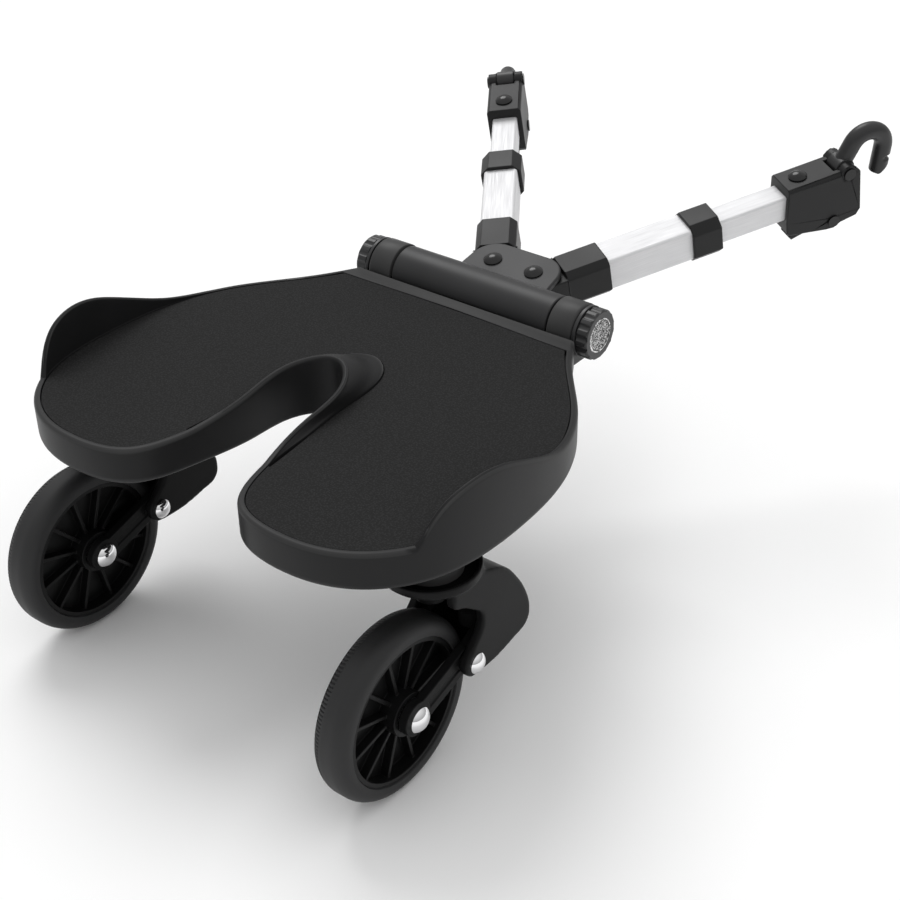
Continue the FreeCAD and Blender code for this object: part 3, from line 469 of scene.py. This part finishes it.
def deck_rows():
    """Grid of the deck's skin: one row of section points for each station of the right half."""
    points, inward = deck_stations()
    y = points[:, 1]
    notch = np.arange(len(y)) < np.argmin(y)
    wing_points = [(wing_start + wing_length * a, wing_rise * b) for a, b in wing_shares]
    wing_curve = smooth_curve(wing_points, wing_samples)
    wing = np.where(notch, 0, np.interp(y, wing_curve[:, 0], wing_curve[:, 1], left=0, right=0))
    wing_share = ease(wing / wing_blend)
    lip_share = np.where(notch, ease((y - lip_start) / lip_blend), 0)
    lip = np.where(notch, lip_rise * np.clip((y - lip_start) / (y[0] - lip_start), 0, 1), 0)
    crest = rim_top + wing + lip
    plain_share = 1 - wing_share - lip_share
    thick = rim_breadth * plain_share + wing_breadth * wing_share + lip_breadth * lip_share
    inner_round = rim_inner_round * plain_share + crest_inner_round * (wing_share + lip_share)
    foot_rise = wing_foot_rise * wing_share + lip_foot_rise * lip_share
    foot_round = wing_foot_rise / 2 * wing_share + lip_foot_round * lip_share
    drop = notch_drop * ease((y - notch_drop_start) / notch_drop_length)
    low_edge = skirt_bottom - np.where(notch, drop, 0)
    foot = points + inward * rim_breadth
    foot = foot * (1 - lip_share[:, None]) + lip_feet(points) * lip_share[:, None]
    foot[0, 0] = 0
    quarter = [math.pi / 2 * step / quarter_steps for step in range(quarter_steps + 1)]
    rows = []

    def level(offset, height):
        rows.append(np.c_[offset, np.broadcast_to(height, len(y))])

    level(points + inward * skirt_wall, floor_under)
    level(points + inward * skirt_wall, low_edge + skirt_foot)
    level(points + inward * (skirt_wall - rim_inner_round), low_edge + rim_inner_round)
    for turn in quarter:
        level(points + inward * skirt_foot * (1 - math.sin(turn)),
              low_edge + skirt_round * (1 - math.cos(turn)))
    level(points, crest - rim_wall_share * rim_round)
    for turn in quarter:
        level(points + inward * rim_round * (1 - math.cos(turn)),
              crest - rim_round * (1 - math.sin(turn)))
    inner_edge = points + inward * thick[:, None]
    for turn in quarter:
        level(inner_edge - inward * inner_round[:, None] * (1 - math.sin(turn)),
              crest - inner_round * (1 - math.cos(turn)))
    top, low = crest - inner_round, mat_high.z + foot_rise
    reach = foot - inner_edge
    away = np.linalg.norm(reach, axis=1)[:, None]
    toe = foot - reach / np.maximum(away, least_length) * np.minimum(foot_round[:, None], away)
    for share in slope_shares:
        fall = share * (1 - lip_share) + ease(share) * lip_share
        level(inner_edge * (1 - share) + toe * share, top * (1 - fall) + low * fall)
    level(foot * (1 - toe_share) + toe * toe_share, low - foot_round * toe_share)
    level(foot, low - foot_round)
    level(foot, mat_low.z)
    return np.array(rows).transpose(1, 0, 2)


def with_ledge(rows):
    """Carries the rim's top across to the middle plane ahead of the mat, as the ledge behind the hinge."""
    round_rows = quarter_steps + 1
    wall_row = round_rows + 3
    inner_first = wall_row + 1 + round_rows
    inner_end = inner_first + round_rows
    y = rows[:, wall_row, 1]
    first = int(np.argmax(y >= mat_front))
    share = (mat_front - y[first - 1]) / (y[first] - y[first - 1])
    at_mat = rows[first - 1] * (1 - share) + rows[first] * share
    ledge = np.concatenate([[at_mat], rows[first:]])
    ledge[:, inner_first:, 0] = 0
    ledge[:, inner_first:, 1] = ledge[:, wall_row:wall_row + 1, 1]
    ledge[:, inner_first:inner_end, 2] = rim_top
    return np.concatenate([rows[:first], [at_mat], ledge])


def fill_at(bm, height):
    """Closes the flat opening whose edges lie at one height."""
    edges = []
    for edge in bm.edges:
        flat = all(abs(vert.co.z - height) < merge_gap for vert in edge.verts)
        if flat and len(edge.link_faces) == 1:
            edges.append(edge)
    bmesh.ops.triangle_fill(bm, edges=edges, use_beauty=True)


def add_ribs(bm):
    """Grid of ribs under the deck's floor, each cut off at the skirt."""
    points, inward = deck_stations()
    half = points + inward * skirt_wall
    ring = np.concatenate([half[:0:-1] * np.array([-1, 1]), half])
    ring = np.concatenate([ring, ring[:1]])
    near, far = ring[:-1], ring[1:]
    for axis, start in ((0, 0), (1, deck_low.y + rib_pitch / 2)):
        other = 1 - axis
        steps = range(math.ceil((ring[:, axis].min() - start) / rib_pitch),
                      math.floor((ring[:, axis].max() - start) / rib_pitch) + 1)
        for at in [start + step * rib_pitch for step in steps]:
            hit = (near[:, axis] - at) * (far[:, axis] - at) < 0
            share = (at - near[hit, axis]) / (far[hit, axis] - near[hit, axis])
            ends = sorted(near[hit, other] + share * (far[hit, other] - near[hit, other]))
            for rib_start, rib_end in zip(ends[0::2], ends[1::2]):
                low, high = [0, 0, floor_under - rib_height], [0, 0, floor_under]
                low[axis], high[axis] = at - rib_thickness / 2, at + rib_thickness / 2
                low[other], high[other] = rib_start, rib_end
                add_box(bm, low, high)


def add_knuckle(bm, side):
    """Hinge knuckle at one front corner: a barrel with a bevelled outer end, on a foot in the deck."""
    profile = [
        (knuckle_start, knuckle_radius - knuckle_edge / 2),
        (knuckle_start + knuckle_edge / 4, knuckle_radius - knuckle_edge / 8),
        (knuckle_start + knuckle_edge / 2, knuckle_radius),
        (knuckle_end - 2 * knuckle_edge, knuckle_radius),
        (knuckle_end - knuckle_edge, knuckle_radius - knuckle_edge / 4),
        (knuckle_end - knuckle_edge / 4, knuckle_radius - knuckle_edge),
        (knuckle_end, knuckle_radius - 1.2 * knuckle_edge),
    ]
    add_turning(bm, profile, (0, hinge.y, hinge.z), (side, 0, 0), knuckle_segments)
    ends = sorted((side * knuckle_start, side * knuckle_end))
    add_box(bm, (ends[0], mat_front, skirt_bottom), (ends[1], hinge.y, hinge.z))


def build_deck(material):
    """Deck with its skirt, rim, wings and lip, ribs and bosses underneath, and the hinge knuckles."""
    right = with_ledge(deck_rows())
    left = right[:0:-1] * np.array([-1, 1, 1])
    bm = bmesh.new()
    add_grid(bm, [list(map(tuple, row)) for row in np.concatenate([left, right])], wrap_rows=True)
    bmesh.ops.remove_doubles(bm, verts=bm.verts, dist=merge_gap)
    fill_at(bm, mat_low.z)
    fill_at(bm, floor_under)
    add_ribs(bm)
    for side in SIDES.values():
        add_knuckle(bm, side)
        boss = [(deck_low.z, boss_radius), (floor_under, boss_radius)]
        add_turning(bm, boss, (side * wheel_reach, swivel_y, 0), (0, 0, 1), disc_segments)
    bmesh.ops.translate(bm, vec=(middle_x, 0, 0), verts=bm.verts)
    mesh = finish_mesh(bm, "deck_moulding")
    deck = add_object("deck_moulding", mesh, "deck", material)
    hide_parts("deck_shell")


def fork_outlines():
    """Front and rear edges of a fork's side plates, as (y, z) points."""
    front = [(axle_y + fork_reach * y, cup_rim_height * z) for y, z in fork_front_shares]
    rear = [(axle_y + fork_reach * y, cup_rim_height * z) for y, z in fork_rear_shares]
    return smooth_curve(front, fork_front_samples), smooth_curve(rear, fork_rear_samples)


def add_cup(bm, x):
    """Round dish on top of a fork, its neck and the hub that carries the swivel."""
    rim, floor = cup_rim_height, cup_rim_height - cup_dish_depth
    wall_share, toe_in_share = cup_slope_shares
    dish = [
        (floor - cup_floor, cup_neck_radius), (rim - cup_band, cup_radius), (rim, cup_radius),
        (rim, cup_radius - cup_lip), (rim - cup_dish_depth / 2, cup_radius - wall_share * cup_lip),
        (floor, cup_radius - toe_in_share * cup_lip), (floor, hub_radius),
    ]
    add_turning(bm, dish, (x, swivel_y, 0), (0, 0, 1), cup_segments)
    hub = [(hub_bottom, hub_under_radius), (floor, hub_radius), (floor + hub_rise, hub_radius)]
    add_turning(bm, hub, (x, swivel_y, 0), (0, 0, 1), pin_segments)
    turns = [2 * math.pi * step / cup_segments for step in range(cup_segments)]
    neck = [(rim - cup_band, cup_radius, 0), (rim - cup_neck_drop, cup_neck_radius, cup_neck_ahead)]
    rings = []
    for height, radius, ahead in neck:
        y = swivel_y + ahead
        rings.append([(x + radius * math.sin(t), y + radius * math.cos(t), height) for t in turns])
    add_rings(bm, rings)


def build_fork(name, side, material):
    """Fork of one caster: two side plates, the curved front wall, pivot bosses and the cup on top."""
    x = middle_x + side * wheel_reach
    front, rear = fork_outlines()
    along = np.gradient(front, axis=0)
    along /= np.linalg.norm(along, axis=1)[:, None]
    inner = front + np.c_[along[:, 1], -along[:, 0]] * fork_front_wall
    bm = bmesh.new()
    for hand in (-1, 1):
        ends = (x + hand * (fork_outer - fork_wall), x + hand * fork_outer)
        add_prism(bm, np.concatenate([front, rear]), *ends)
        boss = [(fork_outer - fork_wall, boss_outer_radius), (fork_outer, boss_outer_radius)]
        add_turning(bm, boss, (x, pivot.y, pivot.z), (hand, 0, 0), pin_segments)
    add_prism(bm, np.concatenate([front, inner[::-1]]), x - fork_outer, x + fork_outer)
    add_cup(bm, x)
    mesh = finish_mesh(bm, "fork_" + name)
    fork = add_object("fork_" + name, mesh, "caster_" + name, material)
    remesh = fork.modifiers.new("solid", "REMESH")
    remesh.mode = "VOXEL"
    remesh.voxel_size = fork_voxel
    remesh.use_smooth_shade = True
    smooth = fork.modifiers.new("round", "SMOOTH")
    smooth.factor = fork_smooth_share
    smooth.iterations = fork_smooth_rounds
    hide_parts("caster_fork_" + name)


def arm_axes(name):
    """Directions of one arm: across, along and up."""
    along = Vector(joints["arm_slide_" + name]["axis"])
    across = Vector(joints["hook_swing_" + name]["axis"])
    return across, along, across.cross(along)


def hook_path():
    """Middle line of a hook's bar as (along, up) points from its pin, and how far each is from the tip."""
    centre = np.array([hook_bend_ahead, hook_bend_above])
    tip = np.array([hook_tip_ahead, -hook_tip_below])

    def touch(point, turn):
        away = point - centre
        return math.atan2(away[1], away[0]) + turn * math.acos(hook_bend_radius / np.linalg.norm(away))

    start = touch(np.zeros(2), -1) + 2 * math.pi
    end = touch(tip, 1)
    turns = np.linspace(start, end, int(abs(start - end) * hook_bend_radius / hook_step))
    bend = centre + np.c_[np.cos(turns), np.sin(turns)] * hook_bend_radius

    def line(first, last):
        count = int(np.linalg.norm(last - first) / hook_step)
        return first + (last - first) * np.linspace(0, 1, count)[:, None]

    path = np.concatenate([line(np.zeros(2), bend[0])[:-1], bend, line(bend[-1], tip)[1:]])
    steps = np.linalg.norm(np.diff(path, axis=0), axis=1)
    return path, np.concatenate([np.cumsum(steps[::-1])[::-1], [0]])


def build_hook(name, material):
    """Round bar bent into a hook, with a notch and a bevelled tip, on the barrel that turns on its pin."""
    pin = Vector(joints["hook_swing_" + name]["pos_m"])
    across, along, up = arm_axes(name)
    swing = Matrix.Rotation(math.radians(hook_rest_degrees[name]), 3, across)
    along, up = swing @ along, swing @ up
    path, from_tip = hook_path()
    forward = np.gradient(path, axis=0)
    forward /= np.linalg.norm(forward, axis=1)[:, None]
    outward = np.c_[-forward[:, 1], forward[:, 0]]
    taper = np.clip(from_tip / hook_tip_taper, 0, 1)
    full = np.sqrt(1 - (1 - taper)**2)
    radius = hook_bar_radius * (hook_tip_end_share + (1 - hook_tip_end_share) * full)
    from_notch = np.abs(from_tip - hook_notch_from_tip)
    notch = hook_notch_depth * np.clip(1 - from_notch / hook_notch_half, 0, 1)
    first, gain = hook_bevel_shares
    bevel = hook_bar_radius * (first + gain * from_tip / hook_tip_bevel)
    turns = [2 * math.pi * step / bar_segments for step in range(bar_segments)]
    bm = bmesh.new()
    rings = []
    for point, side, thick, cut, most in zip(path, outward, radius, notch, bevel):
        ring = []
        for turn in turns:
            away = thick - cut * ease(math.cos(turn) + hook_notch_reach_share)
            place = point + side * min(away * math.cos(turn), most)
            ring.append(pin + across * away * math.sin(turn) + along * place[0] + up * place[1])
        rings.append(ring)
    add_rings(bm, rings)
    end_radius = hook_barrel_edge_share * hook_barrel_radius
    edge_half = hook_barrel_edge_share * hook_barrel_half
    barrel = [
        (-hook_barrel_half, end_radius), (-edge_half, hook_barrel_radius),
        (edge_half, hook_barrel_radius), (hook_barrel_half, end_radius),
    ]
    add_turning(bm, barrel, pin, across, pin_segments)
    mesh = finish_mesh(bm, "hook_bar_" + name)
    hook = add_object("hook_bar_" + name, mesh, "hook_" + name, material)
    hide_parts("hook_" + name)


def build_cover(material):
    """Upper plate of the yoke: the plain hull of its node, with a rounded edge."""
    bm = bmesh.new()
    for vertex in nodes["yoke_cover"].data.vertices:
        bm.verts.new(vertex.co)
    bmesh.ops.remove_doubles(bm, verts=bm.verts, dist=cover_gap)
    bmesh.ops.convex_hull(bm, input=bm.verts)
    inside = [vertex for vertex in bm.verts if not vertex.link_faces]
    bmesh.ops.delete(bm, geom=inside, context="VERTS")
    cover = add_object("cover_plate", plain_mesh(bm, "cover_plate"), "yoke", material)
    round_edges(cover, cover_round)
    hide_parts("yoke_cover")


def build_head(name, material):
    """One arm's head with the rounded ears that hold the hook's pin."""
    pin = Vector(joints["hook_swing_" + name]["pos_m"])
    across = arm_axes(name)[0]
    profile = [(ear_start, ear_radius), (head_half, ear_radius)]
    bm = bmesh.new()
    bm.from_mesh(nodes["connector_head_" + name].data)
    for hand in (-1, 1):
        add_turning(bm, profile, pin, across * hand, pin_segments)
    mesh = plain_mesh(bm, "head_" + name)
    head = add_object("head_" + name, mesh, "extension_" + name, material)
    round_edges(head, head_round, True)
    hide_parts("connector_head_" + name)


def build_reflector(name, side, material):
    """Prismatic reflector: a field of cube corners inside a plain ring."""
    low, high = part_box("knob_reflector_" + name)
    face, back = (high.x, low.x) if side > 0 else (low.x, high.x)
    edge = cell_pitch / math.sqrt(3)
    third = edge / math.sqrt(2)
    field = reflector_radius - reflector_ring
    bm = bmesh.new()

    def place(a, b, depth):
        return (face - side * depth, hinge.y + a, hinge.z + b)

    count = int(2 * field / cell_pitch)
    for row in range(-count, count + 1):
        for column in range(-count, count + 1):
            a, b = cell_pitch * (column + row / 2), 1.5 * edge * row
            if math.hypot(a, b) > field - edge:
                continue
            corners = []
            for step in range(6):
                turn = math.pi * (step / 3 + 1 / 6)
                depth = third * (1 + step % 2) - cell_lift_share * third
                corner = place(a + edge * math.cos(turn), b + edge * math.sin(turn), depth)
                corners.append(bm.verts.new(corner))
            centre = bm.verts.new(place(a, b, third * cell_pit_share))
            for step in (0, 2, 4):
                bm.faces.new((centre, corners[step - 1], corners[step], corners[(step + 1) % 6]))
    profile = [
        (-abs(face - back), reflector_radius), (-reflector_ring / 3, reflector_radius),
        (0, reflector_radius - reflector_ring / 3), (0, field - edge / 2),
        (-field_floor_share * third, field - edge / 2),
    ]
    add_turning(bm, profile, (face, hinge.y, hinge.z), (side, 0, 0), disc_segments)
    mesh = finish_mesh(bm, "reflector_" + name, cell_sharp_degrees)
    reflector = add_object("reflector_" + name, mesh, "knob_" + name, material)
    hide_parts("knob_reflector_" + name)


def tyre_profile():
    """Half section of a tyre from crown to bead: offset, radius and the share of the lugs' depth."""
    half = (tyre_high.x - tyre_low.x) / 2
    flat = half - tyre_shoulder
    points = [(0, wheel_radius, 0), (flat * tyre_crown_share, wheel_radius, 0), (flat, wheel_radius, 0)]
    for degrees in shoulder_degrees:
        turn = math.radians(degrees)
        lug = 1 if lug_first_degrees < degrees < lug_last_degrees else 0
        drop = tyre_shoulder_drop * (1 - math.cos(turn))
        points.append((flat + tyre_shoulder * math.sin(turn), wheel_radius - drop, lug))
    points.append((half - tyre_wall_lean, tyre_inner_radius + tyre_wall_lean, 0))
    points.append((half - 3 * tyre_wall_lean, tyre_inner_radius, 0))
    return points


def build_tyre(name, side, material):
    """Tyre with a smooth crown and one smooth shoulder, and fine lugs on the other."""
    half = tyre_profile()
    lugged = [(-x, radius, lug) for x, radius, lug in half[:0:-1]]
    section = lugged + [(x, radius, 0) for x, radius, lug in half]
    samples = len(lug_wave_shares)
    count = lug_count * samples
    rings = []
    for x, radius, lug in section:
        ring = []
        for step in range(count):
            turn = 2 * math.pi * step / count
            away = radius - lug * lug_depth * lug_wave_shares[step % samples]
            y, z = axle_y + away * math.sin(turn), wheel_radius + away * math.cos(turn)
            ring.append((middle_x + side * wheel_reach + x, y, z))
        rings.append(ring)
    bm = bmesh.new()
    add_grid(bm, rings, wrap_rows=True, wrap_columns=True)
    mesh = finish_mesh(bm, "tyre_" + name)
    tyre = add_object("tyre_" + name, mesh, "wheel_" + name, material)
    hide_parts("wheel_tyre_" + name)


def round_edges(piece, width, split=False):
    """Merges a piece's flat faces, splits them into triangles where asked, and rounds its sharp edges."""
    weld = piece.modifiers.new("weld", "WELD")
    weld.merge_threshold = weld_gap
    flat = piece.modifiers.new("flat", "DECIMATE")
    flat.decimate_type = "DISSOLVE"
    flat.angle_limit = math.radians(flat_degrees)
    if split:
        piece.modifiers.new("split", "TRIANGULATE")
    bevel = piece.modifiers.new("round", "BEVEL")
    bevel.width = width
    bevel.segments = bevel_segments
    bevel.limit_method = "ANGLE"
    bevel.angle_limit = math.radians(bevel_least_degrees)
    bevel.use_clamp_overlap = False
    bevel.harden_normals = False
    normal = piece.modifiers.new("normal", "WEIGHTED_NORMAL")
    normal.keep_sharp = False
    piece.data.shade_smooth()


def soften_edges():
    """Rounds the edges of the frame's own nodes as moulding and drawing do."""
    for name, node in nodes.items():
        kind = name.removesuffix("_left").removesuffix("_right")
        width = soft_edges.get(kind)
        if width is not None:
            round_edges(node, width, kind in holed_kinds)


def node_tree(name):
    """New material with its tree and shader."""
    material = bpy.data.materials.new(name)
    material.use_nodes = True
    tree = material.node_tree
    return material, tree, tree.nodes["Principled BSDF"]


def surface_noise(tree, pitch, detail=3.0, axes=None, stretch=1.0):
    """Noise over an object's surface, drawn out along one arm's length where axes are given."""
    place = tree.nodes.new("ShaderNodeTexCoord")
    noise = tree.nodes.new("ShaderNodeTexNoise")
    noise.inputs["Scale"].default_value = 1 / pitch
    noise.inputs["Detail"].default_value = detail
    vector = place.outputs["Object"]
    if axes:
        turn = tree.nodes.new("ShaderNodeMapping")
        turn.vector_type = "TEXTURE"
        turn.inputs["Rotation"].default_value = Matrix(axes).transposed().to_euler()
        turn.inputs["Scale"].default_value = (1, stretch, 1)
        tree.links.new(vector, turn.inputs["Vector"])
        vector = turn.outputs["Vector"]
    tree.links.new(vector, noise.inputs["Vector"])
    return noise.outputs["Fac"]


def surface_cells(tree, pitch):
    """Rounded pebbles over an object's surface: high in the middle of each cell."""
    place = tree.nodes.new("ShaderNodeTexCoord")
    cells = tree.nodes.new("ShaderNodeTexVoronoi")
    cells.feature = "SMOOTH_F1"
    cells.inputs["Scale"].default_value = 1 / pitch
    cells.inputs["Smoothness"].default_value = 0.4
    tree.links.new(place.outputs["Object"], cells.inputs["Vector"])
    return ramp(tree, cells.outputs["Distance"], 1, 0, 0.1, 0.7)


def ramp(tree, value, low, high, start=pattern_low, end=pattern_high):
    """Maps a pattern's value to a range."""
    node = tree.nodes.new("ShaderNodeMapRange")
    node.inputs["From Min"].default_value = start
    node.inputs["From Max"].default_value = end
    node.inputs["To Min"].default_value = low
    node.inputs["To Max"].default_value = high
    tree.links.new(value, node.inputs["Value"])
    return node.outputs["Result"]


def tint(tree, value, dark, light):
    """Colours a pattern from dark to light."""
    node = tree.nodes.new("ShaderNodeValToRGB")
    node.color_ramp.elements[0].position = pattern_low
    node.color_ramp.elements[1].position = pattern_high
    node.color_ramp.elements[0].color = (*dark, 1)
    node.color_ramp.elements[1].color = (*light, 1)
    tree.links.new(value, node.inputs["Fac"])
    return node.outputs["Color"]


def bump(tree, shader, value, depth):
    """Adds relief of the given depth over any that the shader has."""
    node = tree.nodes.new("ShaderNodeBump")
    node.inputs["Distance"].default_value = depth
    tree.links.new(value, node.inputs["Height"])
    if shader.inputs["Normal"].is_linked:
        tree.links.new(shader.inputs["Normal"].links[0].from_socket, node.inputs["Normal"])
    tree.links.new(node.outputs["Normal"], shader.inputs["Normal"])


def plastic(name, shade, roughness, specular, grain_pitch, grain_depth):
    """Moulded black plastic: spark-eroded grain, faint mottling, patches of softer and harder sheen."""
    material, tree, shader = node_tree(name)
    shader.inputs["Specular IOR Level"].default_value = specular
    broad = surface_noise(tree, mottle_pitch)
    fine = surface_noise(tree, grain_pitch, 2.0)
    colour = [shade, shade, blue_share * shade]
    dark, light = [[share * c for c in colour] for share in (1 - mottle_share, 1 + mottle_share)]
    tree.links.new(tint(tree, broad, dark, light), shader.inputs["Base Color"])
    sheen = ramp(tree, broad, roughness - sheen_spread, roughness + sheen_spread)
    tree.links.new(sheen, shader.inputs["Roughness"])
    bump(tree, shader, fine, grain_depth)
    return material


def paint_edge_highlight(material, shade, start, end):
    """Paints a highlight on a material's outer edges: a paler colour where the surface is most curved."""
    tree = material.node_tree
    shader = tree.nodes["Principled BSDF"]
    shape = tree.nodes.new("ShaderNodeNewGeometry")
    # painted highlight: the base colour turns paler on the most curved edges
    mix = tree.nodes.new("ShaderNodeMix")
    mix.data_type = "RGBA"
    mix.inputs["B"].default_value = (shade, shade, shade, 1)
    tree.links.new(ramp(tree, shape.outputs["Pointiness"], 0, 1, start, end), mix.inputs["Factor"])
    tree.links.new(shader.inputs["Base Color"].links[0].from_socket, mix.inputs["A"])
    tree.links.new(mix.outputs["Result"], shader.inputs["Base Color"])


def pebbled_rubber(name, shade, roughness, specular, pitch, depth):
    """Rubber with a pebbled face: the tops of the pebbles a little paler than the valleys."""
    material, tree, shader = node_tree(name)
    shader.inputs["Specular IOR Level"].default_value = specular
    cells = surface_cells(tree, pitch)
    fine = surface_noise(tree, pitch / 4)
    dark, light = [0.7 * shade] * 3, [1.15 * shade, 1.15 * shade, 1.18 * shade]
    tree.links.new(tint(tree, cells, dark, light), shader.inputs["Base Color"])
    tree.links.new(ramp(tree, fine, roughness - 0.08, roughness + 0.05), shader.inputs["Roughness"])
    bump(tree, shader, cells, depth)
    bump(tree, shader, fine, depth / 6)
    return material


def metal(name, shade, roughness, axes=None):
    """Bare metal: fine scratches, drawn out along the arm on its tubes."""
    material, tree, shader = node_tree(name)
    shader.inputs["Metallic"].default_value = 1.0
    fine = surface_noise(tree, scratch_pitch, 3.0, axes, scratch_stretch)
    broad = surface_noise(tree, cloud_pitch)
    dark, light = [0.95 * shade, 0.95 * shade, 0.96 * shade], [shade, shade, 1.01 * shade]
    tree.links.new(tint(tree, broad, dark, light), shader.inputs["Base Color"])
    tree.links.new(ramp(tree, fine, 0.85 * roughness, 1.15 * roughness), shader.inputs["Roughness"])
    bump(tree, shader, fine, scratch_depth)
    return material


def prism_silver(name, dark, light):
    """Mirrored prisms with a random glint in each small cell."""
    material, tree, shader = node_tree(name)
    shader.inputs["Metallic"].default_value = 1.0
    place = tree.nodes.new("ShaderNodeTexCoord")
    cells = tree.nodes.new("ShaderNodeTexVoronoi")
    cells.inputs["Scale"].default_value = 1 / (glint_share * cell_pitch)
    tree.links.new(place.outputs["Object"], cells.inputs["Vector"])
    fine = surface_noise(tree, cell_pitch)
    tree.links.new(tint(tree, cells.outputs["Color"], [dark] * 3, [light] * 3), shader.inputs["Base Color"])
    tree.links.new(ramp(tree, fine, *reflector_roughness), shader.inputs["Roughness"])
    return material


def make_materials():
    """Finish of each slot, and for the tubes one for each arm's direction."""
    made = {name: plastic(name, *finish) for name, finish in plastic_finishes.items()}
    made.update({name: metal(name, *finish) for name, finish in metal_finishes.items()})
    made["mat_rubber"] = pebbled_rubber("mat_rubber", *mat_finish)
    made["reflector"] = prism_silver("reflector", *reflector_shades)
    # painted highlight along the deck's rounded edges
    paint_edge_highlight(made["deck_plastic"], *edge_highlight)
    for name in SIDES:
        made["tube_" + name] = metal("tube_aluminium_" + name, *tube_finish, arm_axes(name))
    return made


def dress_frame(materials):
    """Gives every node of the frame the finish of its slot; the knobs are glossier than the yoke."""
    slots = {row["node"]: row["material_slot"] for row in frame["record"]["subparts"]}
    for name, node in nodes.items():
        finish = slots[name]
        if finish == "tube_aluminium":
            finish = "tube_" + name.rsplit("_", 1)[1]
        if name.startswith("clamp_knob"):
            finish = "knob_plastic"
        node.data.materials.clear()
        node.data.materials.append(materials[finish])


def add_camera():
    """Camera at the fitted place."""
    data = bpy.data.cameras.new("camera")
    data.sensor_width = sensor_width
    data.lens = sensor_width * focal_pixels / frame_pixels
    data.clip_start = camera_near
    camera = new_object("camera", data)
    turn = Matrix.Rotation(camera_azimuth, 3, "Z")
    turn = turn @ Matrix.Rotation(math.pi / 2 - camera_elevation, 3, "X")
    turn = turn @ Matrix.Rotation(camera_roll, 3, "Z")
    camera.matrix_world = Matrix.Translation(camera_place) @ turn.to_4x4()
    bpy.context.scene.camera = camera


def add_key():
    """One broad sun from above, on the left and beyond the board as the camera sees it."""
    data = bpy.data.lights.new("key", "SUN")
    data.energy = key_strength
    data.angle = key_spread
    lamp = new_object("key", data)
    lamp.rotation_euler = key_direction.to_track_quat("Z", "Y").to_euler()


def add_floor():
    """Wide pale floor."""
    bm = bmesh.new()
    bmesh.ops.create_grid(bm, x_segments=1, y_segments=1, size=floor_half)
    mesh = plain_mesh(bm, "floor")
    floor = new_object("floor", mesh)
    material, tree, shader = node_tree("floor")
    shader.inputs["Base Color"].default_value = (floor_shade, floor_shade, floor_shade, 1)
    shader.inputs["Roughness"].default_value = floor_roughness
    shader.inputs["Specular IOR Level"].default_value = 0.0
    mesh.materials.append(material)


def add_world():
    """Plain white room, dimmer toward the horizon."""
    world = bpy.data.worlds.new("studio")
    bpy.context.scene.world = world
    world.use_nodes = True
    tree = world.node_tree
    background = tree.nodes["Background"]
    background.inputs["Color"].default_value = (1, 1, 1, 1)
    place = tree.nodes.new("ShaderNodeTexCoord")
    split = tree.nodes.new("ShaderNodeSeparateXYZ")
    tree.links.new(place.outputs["Generated"], split.inputs["Vector"])
    strength = ramp(tree, split.outputs["Z"], horizon_light, sky_light, 0, sky_height)
    tree.links.new(strength, background.inputs["Strength"])


materials = make_materials()
dress_frame(materials)
soften_edges()
build_deck(materials["deck_plastic"])
build_cover(materials["yoke_plastic"])
for name, side in SIDES.items():
    build_fork(name, side, materials["caster_plastic"])
    build_head(name, materials["arm_plastic"])
    build_hook(name, materials["hook_plastic"])
    build_reflector(name, side, materials["reflector"])
    build_tyre(name, side, materials["tyre_rubber"])
add_camera()
add_key()
add_world()
add_floor()
bpy.context.scene.view_settings.view_transform = "Standard"
